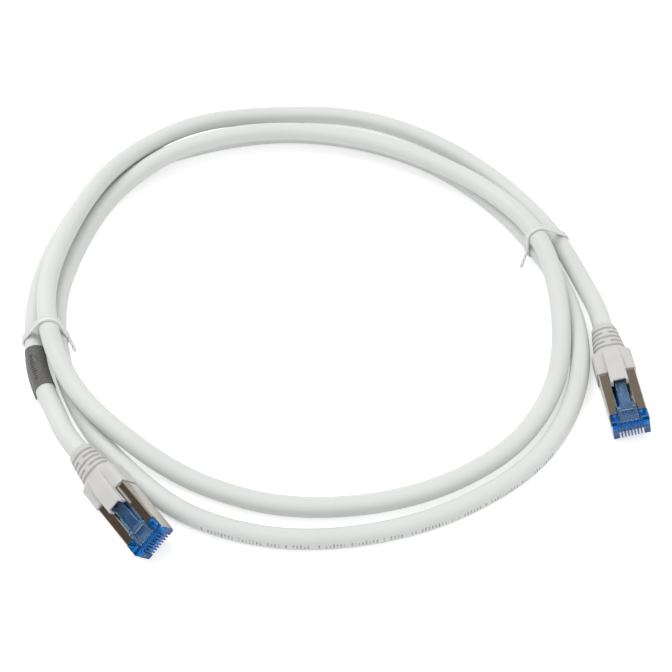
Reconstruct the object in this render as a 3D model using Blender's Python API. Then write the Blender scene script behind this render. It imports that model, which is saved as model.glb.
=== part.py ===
"""Shielded eight-way network patch cable, coiled in a loose loop with two twist ties.

Metres, +Z up. The cable lies on the plane z = 0. Each plug is built about its own axis:
x runs from the boot's cable end towards the nose, y across the plug, z up to the latch.
"""
import math

import bmesh
import bpy
from mathutils import Matrix, Vector

MM = 0.001

# Cable
CABLE_DIAMETER = 6.4 * MM
STRAND_GAP = 0.3 * MM
CABLE_SPLINE_POINTS = 80
CABLE_BEVEL_RESOLUTION = 3
CABLE_SETBACK = 2.0 * MM

# Plug body and its screen
NOSE_WIDTH = 11.68 * MM
NOSE_HEIGHT = 6.6 * MM
NOSE_LENGTH = 4.5 * MM
NOSE_LIP_LENGTH = 1.6 * MM
NOSE_LIP_TOP = 1.5 * MM
BODY_LENGTH = 23.0 * MM
PLUG_REACH = 20.8 * MM
SHIELD_WIDTH = 12.1 * MM
SHIELD_HEIGHT = 7.0 * MM
SHIELD_WALL = 0.25 * MM
FIT_CLEARANCE = 0.25 * MM
FACE_GAP = 0.3 * MM

# Contacts, wires and the bar that holds them
CONTACT_COUNT = 8
CONTACT_PITCH = 1.02 * MM
CONTACT_THICKNESS = 0.35 * MM
CONTACT_CLEARANCE = 0.15 * MM
CONTACT_LENGTH = 3.6 * MM
CONTACT_FOOT = 0.35 * MM
CONTACT_SETBACK = 1.2 * MM
CONTACT_TOP = 0.9 * MM
CONTACT_SPIKE = 0.8 * MM
WIRE_DIAMETER = 0.95 * MM
WIRE_ROW_OFFSET = 0.75 * MM
WIRE_BUNCHING = 0.62
WIRE_SIDES = 8
CAVITY_WIDTH = 9.4 * MM
CAVITY_LOW = -2.3 * MM
CAVITY_HIGH = 1.3 * MM
LOAD_BAR_LENGTH = 6.0 * MM

# Latch
LATCH_SHOULDER_WIDTH = 6.1 * MM
LATCH_LEVER_WIDTH = 3.4 * MM
LATCH_CHANNEL_FLOOR = 2.0 * MM
LATCH_THICKNESS = 1.2 * MM
LATCH_STEP = 0.4 * MM
LATCH_ROOT = 0.7 * MM
LATCH_SHOULDER_LENGTH = 4.7 * MM
LATCH_CATCH_RISE = 1.0 * MM
LATCH_TAIL_RISE = 2.0 * MM
LATCH_TAIL_GAP = 1.5 * MM

# Boot
BOOT_LENGTH = 20.5 * MM
BOOT_COLLAR_RADIUS = 4.0 * MM
BOOT_FRONT_WIDTH = 12.9 * MM
BOOT_FRONT_HEIGHT = 8.6 * MM
BOOT_RIB_COUNT = 5
BOOT_RIB_PITCH = 1.85 * MM
BOOT_FIRST_GROOVE = 2.7 * MM
BOOT_GROOVE_WIDTH = 0.7 * MM
BOOT_GROOVE_DEPTH = 0.5 * MM
BOOT_SIDES = 24
HOOD_WIDTH = 5.6 * MM
HOOD_WALL = 0.8 * MM
HOOD_REACH = 5.7 * MM
HOOD_TOP = 6.4 * MM

# Crimp ferrule over the cable's end
FERRULE_LENGTH = 5.5 * MM
FERRULE_WALL = 0.4 * MM

# Marker sleeve and twist ties
MARKER_LENGTH = 17.5 * MM
MARKER_WALL = 0.3 * MM
MARKER_CORNER = 3
TIE_WIDTH = 2.4 * MM
TIE_THICKNESS = 0.8 * MM
TIE_SIDES = 36

# Where the plugs lie: the boot's cable end, the nose's heading, roll and dip in degrees
LOOP_CENTRE = Vector((-13.792 * MM, 52.828 * MM))
PLUG_POSES = {
    "plug_a": {"place": (-73.6, -60.5), "height": 6.52, "heading": -51.7, "roll": 35.0, "dip": 0.0},
    "plug_b": {"place": (93.75, -9.6), "height": 5.2, "heading": -84.5, "roll": 13.0, "dip": 0.0},
}

# The loop, from plug A to plug B: angle about the loop's centre in degrees, which falls as the
# cable goes round, distance from the centre in mm, and height in strands above the surface.
ROUTE = [
    (207, 94.6, 0.32), (194, 95.5, 0.14), (181, 96.1, 0.18), (160, 98.3, 0.0),
    (140, 101.0, 0.0), (120, 94.6, 0.0), (100, 90.1, 0.0), (80, 85.8, 0.0),
    (60, 82.5, 0.0), (40, 80.4, 0.0), (21, 80.4, 0.18), (7, 83.0, 0.06),
    (-7, 86.3, 0.0), (-22, 89.0, 0.0), (-40, 90.4, 0.0), (-60, 89.2, 0.0),
    (-80, 88.9, 0.0), (-100, 89.8, 0.0), (-118, 89.6, 0.0), (-130, 87.9, 0.0),
    (-142, 87.2, 0.0), (-158, 87.2, 0.0), (-179, 88.9, 0.18), (-200, 91.0, 0.0),
    (-218, 93.8, 0.20), (-231, 92.2, 0.68), (-244, 89.6, 0.82), (-260, 85.8, 0.81), (-280, 81.4, 0.82),
    (-300, 77.9, 0.98), (-320, 78.7, 1.0), (-339, 79.6, 1.19), (-360, 79.6, 0.80),
    (-380, 81.6, 0.05), (-400, 81.8, 0.0), (-420, 79.8, 0.0), (-440, 78.3, 0.0),
    (-460, 78.3, 0.0), (-480, 78.8, 0.05), (-498, 82.2, 0.76), (-512, 86.0, 1.03),
    (-539, 91.4, 1.16), (-560, 93.9, 1.03), (-580, 98.3, 1.04), (-600, 99.8, 0.90),
    (-620, 100.9, 0.06), (-640, 98.4, 0.0), (-660, 93.2, 0.0), (-680, 89.6, 0.0),
    (-699, 88.8, 0.18), (-712, 90.4, 0.16),
]
TIE_ANGLES = {"tie_left": 181.0, "tie_right": 21.0}

# Worked out from the values above
CABLE_RADIUS = CABLE_DIAMETER / 2
STRAND_PITCH = CABLE_DIAMETER + STRAND_GAP
PLUG_LENGTH = BOOT_LENGTH + PLUG_REACH
BODY_START = PLUG_LENGTH - BODY_LENGTH
NOSE_START = PLUG_LENGTH - NOSE_LENGTH
LIP_START = PLUG_LENGTH - NOSE_LIP_LENGTH
CORE_WIDTH = SHIELD_WIDTH - 2 * (SHIELD_WALL + FIT_CLEARANCE)
CORE_HEIGHT = SHIELD_HEIGHT - 2 * (SHIELD_WALL + FIT_CLEARANCE)
CONTACT_START = NOSE_START - CONTACT_SETBACK
WIRE_LEVEL = (CAVITY_LOW + CAVITY_HIGH) / 2
CABLE_END = BODY_START - CABLE_SETBACK
FERRULE_END = min(BODY_START, BOOT_LENGTH) - FACE_GAP
CHANNEL_WIDTH = LATCH_SHOULDER_WIDTH + 2 * FACE_GAP
HINGE_X = LIP_START - LATCH_ROOT
HINGE_Z = LATCH_CHANNEL_FLOOR + FACE_GAP + LATCH_THICKNESS / 2


def clear_scene():
    """Remove every object of the start-up file."""
    for thing in list(bpy.data.objects):
        bpy.data.objects.remove(thing, do_unlink=True)


def make_material(name, colour, roughness, metallic=0.0, alpha=1.0):
    """A plain finish on a Principled shader."""
    material = bpy.data.materials.new(name)
    material.use_nodes = True
    shader = material.node_tree.nodes["Principled BSDF"]
    shader.inputs["Base Color"].default_value = (*colour, 1.0)
    shader.inputs["Roughness"].default_value = roughness
    shader.inputs["Metallic"].default_value = metallic
    shader.inputs["Alpha"].default_value = alpha
    return material


def add_empty(name, matrix, parent=None):
    """An empty that carries pieces; matrix is its place in its parent's frame."""
    empty = bpy.data.objects.new(name, None)
    bpy.context.collection.objects.link(empty)
    empty.parent = parent
    empty.matrix_local = matrix
    return empty


def add_object(name, mesh_builder, material, parent=None, smooth=False):
    """Link a new object whose mesh the builder fills in."""
    mesh = bpy.data.meshes.new(name)
    shape = bmesh.new()
    mesh_builder(shape)
    bmesh.ops.recalc_face_normals(shape, faces=shape.faces)
    shape.to_mesh(mesh)
    shape.free()
    if smooth:
        mesh.shade_smooth()
        mesh.set_sharp_from_angle(angle=math.radians(35))
    mesh.materials.append(material)
    thing = bpy.data.objects.new(name, mesh)
    bpy.context.collection.objects.link(thing)
    thing.parent = parent
    return thing


def add_box(shape, low, high):
    """A closed box between two corners."""
    size = Vector(high) - Vector(low)
    middle = (Vector(high) + Vector(low)) / 2
    matrix = Matrix.Translation(middle) @ Matrix.Diagonal((*size, 1.0))
    bmesh.ops.create_cube(shape, size=1.0, matrix=matrix)


def add_rod(shape, start, length, radius, sides):
    """A closed cylinder along x."""
    turn = Matrix.Rotation(math.radians(90), 4, "Y")
    matrix = Matrix.Translation(Vector(start) + Vector((length / 2, 0, 0))) @ turn
    bmesh.ops.create_cone(shape, cap_ends=True, segments=sides, radius1=radius,
                          radius2=radius, depth=length, matrix=matrix)


def add_loft(shape, rings, closed=False):
    """Join rings of points that follow each other into one closed skin."""
    loops = [[shape.verts.new(point) for point in ring] for ring in rings]
    pairs = list(zip(loops, loops[1:]))
    if closed:
        pairs.append((loops[-1], loops[0]))
    for first, second in pairs:
        count = len(first)
        for index in range(count):
            after = (index + 1) % count
            shape.faces.new((first[index], first[after], second[after], second[index]))
    if not closed:
        shape.faces.new(loops[0])
        shape.faces.new(list(reversed(loops[-1])))


def add_cutter(target, name, mesh_builder, operation="DIFFERENCE"):
    """Cut the target, or add to it, with a hidden helper shape."""
    cutter = add_object(name, mesh_builder, target.data.materials[0], target.parent)
    cutter.hide_render = True
    cutter.display_type = "WIRE"
    modifier = target.modifiers.new(name, "BOOLEAN")
    modifier.operation = operation
    modifier.solver = "EXACT"
    modifier.object = cutter
    return cutter


def rectangle_ring(x, half_width, low, high):
    """The four corners of a plug section at x."""
    return [(x, -half_width, low), (x, half_width, low), (x, half_width, high), (x, -half_width, high)]


def rounded_ring(x, half_width, half_height, squareness):
    """A superellipse section at x: 2 is an ellipse, larger is squarer."""
    ring = []
    for index in range(BOOT_SIDES):
        angle = 2 * math.pi * (index + 0.5) / BOOT_SIDES
        y = math.copysign(abs(math.cos(angle)) ** (2 / squareness), math.cos(angle))
        z = math.copysign(abs(math.sin(angle)) ** (2 / squareness), math.sin(angle))
        ring.append((x, y * half_width, z * half_height))
    return ring


def build_housing(name, parent, material):
    """Clear plug body: core inside the screen, wider nose, slots for the contacts."""
    half_core = CORE_WIDTH / 2
    half_nose = NOSE_WIDTH / 2
    core_top = CORE_HEIGHT / 2
    nose_top = NOSE_HEIGHT / 2

    def body(shape):
        add_loft(shape, [
            rectangle_ring(BODY_START, half_core, -core_top, core_top),
            rectangle_ring(NOSE_START, half_core, -core_top, core_top),
            rectangle_ring(NOSE_START, half_nose, -nose_top, nose_top),
            rectangle_ring(PLUG_LENGTH, half_nose, -nose_top, nose_top),
        ])

    def lip_step(shape):
        add_box(shape, (LIP_START, -NOSE_WIDTH, NOSE_LIP_TOP), (PLUG_LENGTH + MM, NOSE_WIDTH, NOSE_HEIGHT))

    def cavity(shape):
        add_box(shape, (BODY_START - MM, -CAVITY_WIDTH / 2, CAVITY_LOW),
                (CONTACT_START + FACE_GAP, CAVITY_WIDTH / 2, CAVITY_HIGH))

    def channel(shape):
        add_box(shape, (BODY_START - MM, -CHANNEL_WIDTH / 2, LATCH_CHANNEL_FLOOR),
                (PLUG_LENGTH + MM, CHANNEL_WIDTH / 2, NOSE_HEIGHT))

    def slots(shape):
        half_slot = CONTACT_THICKNESS / 2 + CONTACT_CLEARANCE
        for y in contact_places():
            add_box(shape, (CONTACT_START, y - half_slot, -NOSE_HEIGHT),
                    (PLUG_LENGTH + MM, y + half_slot, CONTACT_TOP + CONTACT_CLEARANCE))

    housing = add_object(name, body, material, parent)
    add_cutter(housing, name + "_lip_cutter", lip_step)
    add_cutter(housing, name + "_cavity_cutter", cavity)
    add_cutter(housing, name + "_channel_cutter", channel)
    add_cutter(housing, name + "_slot_cutter", slots)
    return housing


def contact_places():
    """The y of each contact, from pin 1 to pin 8."""
    middle = (CONTACT_COUNT - 1) / 2
    return [(index - middle) * CONTACT_PITCH for index in range(CONTACT_COUNT)]


def build_latch(name, parent, material):
    """Springy locking tab: root in the nose, shoulders, then the narrow lever."""
    shoulder = LATCH_SHOULDER_WIDTH / 2
    lever = LATCH_LEVER_WIDTH / 2
    low = LATCH_CHANNEL_FLOOR + FACE_GAP
    front = LIP_START - FACE_GAP
    catch = front - LATCH_SHOULDER_LENGTH
    tail = BOOT_LENGTH + LATCH_TAIL_GAP
    middle = (catch + tail) / 2
    at_catch = low + LATCH_CATCH_RISE
    at_tail = low + LATCH_TAIL_RISE
    halfway = (at_catch + at_tail) / 2
    thick = 1.25 * LATCH_THICKNESS
    stations = [
        (front, shoulder, low, low + 0.8 * LATCH_THICKNESS),
        (front - LATCH_ROOT, shoulder, low, low + thick),
        ((front + catch) / 2, shoulder, (low + at_catch) / 2, (low + at_catch) / 2 + thick),
        (catch, shoulder, at_catch, at_catch + thick),
        (catch - LATCH_STEP, lever, at_catch, at_catch + thick),
        (middle, lever, halfway, halfway + LATCH_THICKNESS),
        (tail, lever, at_tail, at_tail + 0.85 * LATCH_THICKNESS),
    ]

    def blade(shape):
        add_loft(shape, [rectangle_ring(x - HINGE_X, half, bottom - HINGE_Z, top - HINGE_Z)
                         for x, half, bottom, top in stations])

    pivot = add_empty(name + "_pivot", Matrix.Translation((HINGE_X, 0, HINGE_Z)), parent)
    return add_object(name, blade, material, pivot)


def build_shield(name, parent, material):
    """Sheet-metal screen round the core, open on top for the latch and below for the contacts."""
    start = BOOT_LENGTH + FACE_GAP
    end = NOSE_START - FACE_GAP

    def outside(shape):
        add_box(shape, (start, -SHIELD_WIDTH / 2, -SHIELD_HEIGHT / 2),
                (end, SHIELD_WIDTH / 2, SHIELD_HEIGHT / 2))

    def inside(shape):
        half_width = SHIELD_WIDTH / 2 - SHIELD_WALL
        half_height = SHIELD_HEIGHT / 2 - SHIELD_WALL
        add_box(shape, (start - MM, -half_width, -half_height), (end + MM, half_width, half_height))

    def window(shape):
        add_box(shape, (start - MM, -CHANNEL_WIDTH / 2, 0),
                (end + MM, CHANNEL_WIDTH / 2, SHIELD_HEIGHT))

    def contact_opening(shape):
        half_width = CONTACT_COUNT * CONTACT_PITCH / 2
        add_box(shape, (CONTACT_START - FACE_GAP, -half_width, -SHIELD_HEIGHT), (end + MM, half_width, 0))

    shield = add_object(name, outside, material, parent)
    add_cutter(shield, name + "_inside_cutter", inside)
    add_cutter(shield, name + "_window_cutter", window)
    add_cutter(shield, name + "_contact_cutter", contact_opening)
    return shield


def boot_rings():
    """Sections of the boot from the round collar, over the ribs, to the square front."""
    front_half_width = BOOT_FRONT_WIDTH / 2
    front_half_height = BOOT_FRONT_HEIGHT / 2
    rib_end = BOOT_FIRST_GROOVE + (BOOT_RIB_COUNT - 1) * BOOT_RIB_PITCH + BOOT_GROOVE_WIDTH
    rib_end_half_width = 0.82 * front_half_width

    def section(x, inset=0.0):
        share = min(x / rib_end, 1.0)
        half_width = BOOT_COLLAR_RADIUS + share * (rib_end_half_width - BOOT_COLLAR_RADIUS)
        half_height = BOOT_COLLAR_RADIUS + share * (front_half_height - BOOT_COLLAR_RADIUS)
        return rounded_ring(x, half_width - inset, half_height - inset, 2.0 + 0.6 * share)

    rings = [section(0.0, 0.3 * MM), section(0.4 * MM)]
    for index in range(BOOT_RIB_COUNT):
        x = BOOT_FIRST_GROOVE + index * BOOT_RIB_PITCH
        half = BOOT_GROOVE_WIDTH / 2
        rings.append(section(x - half))
        rings.append(section(x - half, BOOT_GROOVE_DEPTH))
        rings.append(section(x + half, BOOT_GROOVE_DEPTH))
        rings.append(section(x + half))
    rings.append(rounded_ring(rib_end + 1.6 * MM, 0.96 * front_half_width, front_half_height, 5.0))
    rings.append(rounded_ring(BOOT_LENGTH - 3 * MM, front_half_width, front_half_height, 7.0))
    rings.append(rounded_ring(BOOT_LENGTH, front_half_width, front_half_height, 7.0))
    return rings


def build_boot(name, parent, material):
    """Moulded boot: ribbed neck, square front over the plug's tail, hood over the latch."""
    hood_start = BOOT_FIRST_GROOVE + BOOT_RIB_COUNT * BOOT_RIB_PITCH
    boot_top = BOOT_FRONT_HEIGHT / 2
    shield_top = SHIELD_HEIGHT / 2 + FACE_GAP

    def skin(shape):
        add_loft(shape, boot_rings())

    def hood(shape):
        half = HOOD_WIDTH / 2
        add_loft(shape, [
            rectangle_ring(hood_start, half, 0, boot_top - FACE_GAP),
            rectangle_ring(BOOT_LENGTH - MM, half, 0, HOOD_TOP),
            rectangle_ring(BOOT_LENGTH + HOOD_REACH, half, 0, HOOD_TOP),
        ])

    def tunnel(shape):
        half = HOOD_WIDTH / 2 - HOOD_WALL
        add_box(shape, (BOOT_LENGTH - MM, -half, shield_top),
                (BOOT_LENGTH + HOOD_REACH + MM, half, HOOD_TOP - HOOD_WALL))

    def under_hood(shape):
        add_box(shape, (BOOT_LENGTH, -HOOD_WIDTH, -boot_top),
                (BOOT_LENGTH + HOOD_REACH + MM, HOOD_WIDTH, shield_top))

    def cable_bore(shape):
        add_rod(shape, (-MM, 0, 0), CABLE_END, CABLE_RADIUS + FACE_GAP, BOOT_SIDES)

    def ferrule_bore(shape):
        radius = CABLE_RADIUS + 2 * FACE_GAP + FERRULE_WALL
        length = FERRULE_LENGTH + 2 * FACE_GAP
        add_rod(shape, (FERRULE_END - length + FACE_GAP, 0, 0), length, radius, BOOT_SIDES)

    def plug_pocket(shape):
        half_width = CORE_WIDTH / 2 + FIT_CLEARANCE
        half_height = CORE_HEIGHT / 2 + FIT_CLEARANCE
        add_box(shape, (FERRULE_END, -half_width, -half_height),
                (BOOT_LENGTH + MM, half_width, half_height))

    boot = add_object(name, skin, material, parent, smooth=True)
    add_cutter(boot, name + "_hood", hood, "UNION")
    add_cutter(boot, name + "_tunnel_cutter", tunnel)
    add_cutter(boot, name + "_under_hood_cutter", under_hood)
    add_cutter(boot, name + "_cable_cutter", cable_bore)
    add_cutter(boot, name + "_ferrule_cutter", ferrule_bore)
    add_cutter(boot, name + "_pocket_cutter", plug_pocket)
    return boot


def build_ferrule(name, parent, material):
    """Crimp ring that clamps the braid and the jacket behind the plug body."""
    inner = CABLE_RADIUS + FACE_GAP
    start = FERRULE_END - FERRULE_LENGTH

    def outside(shape):
        add_rod(shape, (start, 0, 0), FERRULE_LENGTH, inner + FERRULE_WALL, BOOT_SIDES)

    def bore(shape):
        add_rod(shape, (start - MM, 0, 0), FERRULE_LENGTH + 2 * MM, inner, BOOT_SIDES)

    ferrule = add_object(name, outside, material, parent, smooth=True)
    add_cutter(ferrule, name + "_bore_cutter", bore)
    return ferrule


def wire_place(index):
    """Where a wire runs inside the plug: two staggered rows."""
    side = 1 if index % 2 else -1
    return contact_places()[index], WIRE_LEVEL + side * WIRE_ROW_OFFSET


def wire_ring(x, y, z):
    """A conductor's round section at x."""
    turns = [2 * math.pi * index / WIRE_SIDES for index in range(WIRE_SIDES)]
    radius = WIRE_DIAMETER / 2
    return [(x, y + radius * math.cos(turn), z + radius * math.sin(turn)) for turn in turns]


def build_load_bar(name, parent, material):
    """Bar that keeps the eight wires in their order, in two staggered rows."""
    end = CONTACT_START - 1.5 * MM
    start = end - LOAD_BAR_LENGTH
    half_width = CAVITY_WIDTH / 2 - FACE_GAP

    def bar(shape):
        add_box(shape, (start, -half_width, CAVITY_LOW + FACE_GAP), (end, half_width, CAVITY_HIGH - FACE_GAP))

    def wire_holes(shape):
        hole_radius = WIRE_DIAMETER / 2 + FIT_CLEARANCE
        for index in range(CONTACT_COUNT):
            y, z = wire_place(index)
            add_rod(shape, (start - MM, y, z), LOAD_BAR_LENGTH + 2 * MM, hole_radius, WIRE_SIDES)

    load_bar = add_object(name, bar, material, parent)
    add_cutter(load_bar, name + "_wire_cutter", wire_holes)
    return load_bar


def build_wires(prefix, parent, materials):
    """The eight insulated conductors from the cable's end to the contacts."""
    for index in range(CONTACT_COUNT):
        y, z = wire_place(index)

        def conductor(shape, y=y, z=z):
            bunched = (WIRE_BUNCHING * y, WIRE_BUNCHING * z)
            stations = [(CABLE_END + FACE_GAP, *bunched), (BODY_START, *bunched),
                        (BODY_START + 4 * MM, y, z), (CONTACT_START, y, z)]
            add_loft(shape, [wire_ring(*station) for station in stations])

        add_object(f"{prefix}_wire_{index + 1}", conductor, materials[index], parent, smooth=True)


def build_contacts(prefix, parent, material):
    """Eight blades, each with two spikes that pierce a wire from below."""
    start = CONTACT_START + FACE_GAP
    end = start + CONTACT_LENGTH
    foot = -NOSE_HEIGHT / 2 + CONTACT_FOOT
    neck = CONTACT_TOP - CONTACT_SPIKE
    profile = [
        (start, foot + 0.5 * MM), (start + 0.5 * MM, foot), (end - 0.5 * MM, foot), (end, foot + 0.5 * MM),
        (end, neck), (start + 0.6 * CONTACT_LENGTH, neck), (start + 0.5 * CONTACT_LENGTH, CONTACT_TOP),
        (start + 0.35 * CONTACT_LENGTH, neck), (start + 0.15 * CONTACT_LENGTH, CONTACT_TOP), (start, neck),
    ]
    half = CONTACT_THICKNESS / 2
    for index, y in enumerate(contact_places()):

        def blade(shape, y=y):
            add_loft(shape, [[(x, y - half, z) for x, z in profile], [(x, y + half, z) for x, z in profile]])

        add_object(f"{prefix}_contact_{index + 1}", blade, material, parent)


def plug_matrix(name):
    """The plug's place and attitude on the surface."""
    pose = PLUG_POSES[name]
    x, y = pose["place"]
    place = Vector((LOOP_CENTRE.x + x * MM, LOOP_CENTRE.y + y * MM, pose["height"] * MM))
    heading = Matrix.Rotation(math.radians(pose["heading"]), 4, "Z")
    dip = Matrix.Rotation(math.radians(pose["dip"]), 4, "Y")
    roll = Matrix.Rotation(math.radians(pose["roll"]), 4, "X")
    return Matrix.Translation(place) @ heading @ dip @ roll


def station_point(angle, radius, lift):
    """A route station as a point in space."""
    turn = math.radians(angle)
    height = CABLE_RADIUS + lift * STRAND_PITCH
    return Vector((LOOP_CENTRE.x + radius * MM * math.cos(turn),
                   LOOP_CENTRE.y + radius * MM * math.sin(turn), height))


def route_points():
    """The points that the cable passes: out of boot A, round the loop and into boot B."""
    stops = (CABLE_END, BOOT_LENGTH / 3, 0.0, -7 * MM)
    first = [plug_matrix("plug_a") @ Vector((x, 0, 0)) for x in stops]
    last = [plug_matrix("plug_b") @ Vector((x, 0, 0)) for x in reversed(stops)]
    return first + [station_point(*station) for station in ROUTE] + last


def smooth_curve(points, steps=12):
    """A Catmull-Rom curve through the points, paced by their spacing, that stays on the surface."""
    padded = [2 * points[0] - points[1]] + points + [2 * points[-1] - points[-2]]
    samples = []
    for index in range(1, len(padded) - 2):
        before, start, end, after = padded[index - 1:index + 3]
        span = (end - start).length
        slope_in = tangent(before, start, end) * span
        slope_out = tangent(start, end, after) * span
        for step in range(steps):
            t = step / steps
            samples.append((2 * t ** 3 - 3 * t ** 2 + 1) * start + (t ** 3 - 2 * t ** 2 + t) * slope_in
                           + (3 * t ** 2 - 2 * t ** 3) * end + (t ** 3 - t ** 2) * slope_out)
    samples.append(points[-1])
    return [Vector((place.x, place.y, max(place.z, CABLE_RADIUS))) for place in samples]


def tangent(before, point, after):
    """The curve's direction at a point, from the distances to its two neighbours."""
    near = (point - before).length
    far = (after - point).length
    return ((point - before) * far / near + (after - point) * near / far) / (near + far)


def points_between(samples, count):
    """Points at even steps along the sampled curve, both ends included."""
    lengths = [0.0]
    for before, after in zip(samples, samples[1:]):
        lengths.append(lengths[-1] + (after - before).length)
    result = []
    index = 0
    for step in range(count):
        wanted = lengths[-1] * step / (count - 1)
        while index < len(lengths) - 2 and lengths[index + 1] < wanted:
            index += 1
        share = (wanted - lengths[index]) / (lengths[index + 1] - lengths[index])
        result.append(samples[index].lerp(samples[index + 1], share))
    return result


def cable_points():
    """The corners of the faceted cable's centre line."""
    return points_between(smooth_curve(route_points()), CABLE_SPLINE_POINTS)


def build_cable(material):
    """The jacket as one tube along the whole route."""
    curve = bpy.data.curves.new("cable_jacket", "CURVE")
    curve.dimensions = "3D"
    curve.bevel_depth = CABLE_RADIUS
    curve.bevel_resolution = CABLE_BEVEL_RESOLUTION
    curve.use_fill_caps = True
    points = cable_points()
    spline = curve.splines.new("POLY")
    spline.points.add(len(points) - 1)
    for spline_point, place in zip(spline.points, points):
        spline_point.co = (*place, 1.0)
    curve.materials.append(material)
    cable = bpy.data.objects.new("cable_jacket", curve)
    bpy.context.collection.objects.link(cable)
    return cable


def ring_about(point, direction, radius, sides):
    """A circle of points round the cable's centre line."""
    side = direction.cross(Vector((0, 0, 1))).normalized()
    up = side.cross(direction).normalized()
    turns = [2 * math.pi * index / sides for index in range(sides)]
    return [point + radius * (math.cos(turn) * side + math.sin(turn) * up) for turn in turns]


def build_marker(material):
    """Marker sleeve round the cable near plug A, centred on one corner of its faceted line."""
    behind, corner, ahead = cable_points()[MARKER_CORNER - 1:MARKER_CORNER + 2]
    arriving = (corner - behind).normalized()
    leaving = (ahead - corner).normalized()
    half = MARKER_LENGTH / 2
    stations = [(corner - arriving * half, arriving), (corner, (arriving + leaving).normalized()),
                (corner + leaving * half, leaving)]
    inner = CABLE_RADIUS + FACE_GAP

    def sleeve(shape):
        outside = [ring_about(*station, inner + MARKER_WALL, BOOT_SIDES) for station in stations]
        inside = [ring_about(*station, inner, BOOT_SIDES) for station in reversed(stations)]
        add_loft(shape, outside + inside, closed=True)

    return add_object("marker_sleeve", sleeve, material, smooth=True)


def strands_at(angle):
    """Centres of the strands that cross the loop's radius at an angle, as (distance, height)."""
    samples = cable_points()
    wanted = math.radians(angle)
    found = []
    for before, after in zip(samples, samples[1:]):
        turns = []
        for point in (before, after):
            flat = Vector((point.x, point.y)) - LOOP_CENTRE
            turns.append((math.atan2(flat.y, flat.x) - wanted + math.pi) % (2 * math.pi) - math.pi)
        if turns[0] > 0 >= turns[1] and turns[0] - turns[1] < 1:
            middle = before.lerp(after, turns[0] / (turns[0] - turns[1]))
            found.append(((Vector((middle.x, middle.y)) - LOOP_CENTRE).length, middle.z))
    return found


def build_tie(name, material):
    """Twist tie drawn round the bundle of strands, as a flat closed band."""
    angle = math.radians(TIE_ANGLES[name])
    strands = strands_at(TIE_ANGLES[name])
    outward = Vector((math.cos(angle), math.sin(angle), 0))
    along = Vector((-math.sin(angle), math.cos(angle), 0))
    base = Vector((LOOP_CENTRE.x, LOOP_CENTRE.y, 0))

    def outline(reach):
        points = []
        for index in range(TIE_SIDES):
            turn = 2 * math.pi * (index + 0.5) / TIE_SIDES
            normal = (math.cos(turn), math.sin(turn))
            far = max(strands, key=lambda strand: strand[0] * normal[0] + strand[1] * normal[1])
            points.append((far[0] + reach * normal[0], far[1] + reach * normal[1]))
        return points

    def band(shape):
        inner = outline(CABLE_RADIUS + FACE_GAP)
        outer = outline(CABLE_RADIUS + FACE_GAP + TIE_THICKNESS)
        rings = []
        for near, distant in zip(inner, outer):
            ring = []
            for (distance, height), shift in ((near, -1), (near, 1), (distant, 1), (distant, -1)):
                offset = along * shift * TIE_WIDTH / 2
                ring.append(base + outward * distance + Vector((0, 0, height)) + offset)
            rings.append(ring)
        add_loft(shape, rings, closed=True)

    return add_object(name, band, material)


def build_plug(name, finishes):
    """One plug with everything inside it, on an empty at the boot's cable end."""
    frame = add_empty(name + "_frame", plug_matrix(name))
    build_housing(name + "_housing", frame, finishes["clear_blue"])
    build_latch(name + "_latch", frame, finishes["clear_blue"])
    build_shield(name + "_shield", frame, finishes["nickel"])
    build_boot(name + "_boot", frame, finishes["boot_plastic"])
    build_ferrule(name + "_crimp_ferrule", frame, finishes["nickel"])
    build_load_bar(name + "_load_bar", frame, finishes["white_plastic"])
    build_wires(name, frame, finishes["wires"])
    build_contacts(name, frame, finishes["gold"])


def make_finishes():
    """All the materials of the cable."""
    pair_colours = {
        "orange": (0.85, 0.30, 0.04), "green": (0.05, 0.40, 0.10),
        "blue": (0.04, 0.12, 0.60), "brown": (0.25, 0.11, 0.05),
    }
    pale = (0.82, 0.82, 0.80)
    order = [(pale, "orange"), (None, "orange"), (pale, "green"), (None, "blue"),
             (pale, "blue"), (None, "green"), (pale, "brown"), (None, "brown")]
    wires = []
    for index, (base, pair) in enumerate(order):
        colour = pair_colours[pair]
        if base:
            colour = tuple(0.6 * light + 0.4 * dark for light, dark in zip(base, colour))
        wires.append(make_material(f"wire_{index + 1}", colour, 0.45))
    return {
        "clear_blue": make_material("clear_blue", (0.02, 0.16, 0.62), 0.12, alpha=0.8),
        "nickel": make_material("nickel", (0.62, 0.59, 0.53), 0.22, metallic=1.0),
        "gold": make_material("gold", (0.90, 0.68, 0.25), 0.20, metallic=1.0),
        "boot_plastic": make_material("boot_plastic", (0.70, 0.67, 0.65), 0.50),
        "white_plastic": make_material("white_plastic", (0.80, 0.80, 0.78), 0.45),
        "jacket": make_material("jacket", (0.68, 0.71, 0.70), 0.42),
        "marker": make_material("marker", (0.14, 0.14, 0.145), 0.55),
        "tie": make_material("tie", (0.78, 0.79, 0.78), 0.40),
        "wires": wires,
    }


def main():
    """Build the whole cable."""
    clear_scene()
    finishes = make_finishes()
    build_cable(finishes["jacket"])
    build_marker(finishes["marker"])
    for name in TIE_ANGLES:
        build_tie(name, finishes["tie"])
    for name in PLUG_POSES:
        build_plug(name, finishes)


main()
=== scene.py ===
"""Studio model of a shielded eight-way network patch cable, coiled in a loose loop.

Metres, +Z up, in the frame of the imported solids. Each plug is modelled about its own axis: x runs from the
boot's cable end towards the nose, y across the plug, z up to the latch. Its meshes are then moved to where
the plug lies, so that every finished object sits at the origin.
"""
from __future__ import annotations

import logging
import math
from dataclasses import dataclass
from enum import Enum
from typing import Callable, Iterable, Sequence

import bmesh
import bpy
from mathutils import Matrix, Vector

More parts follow.
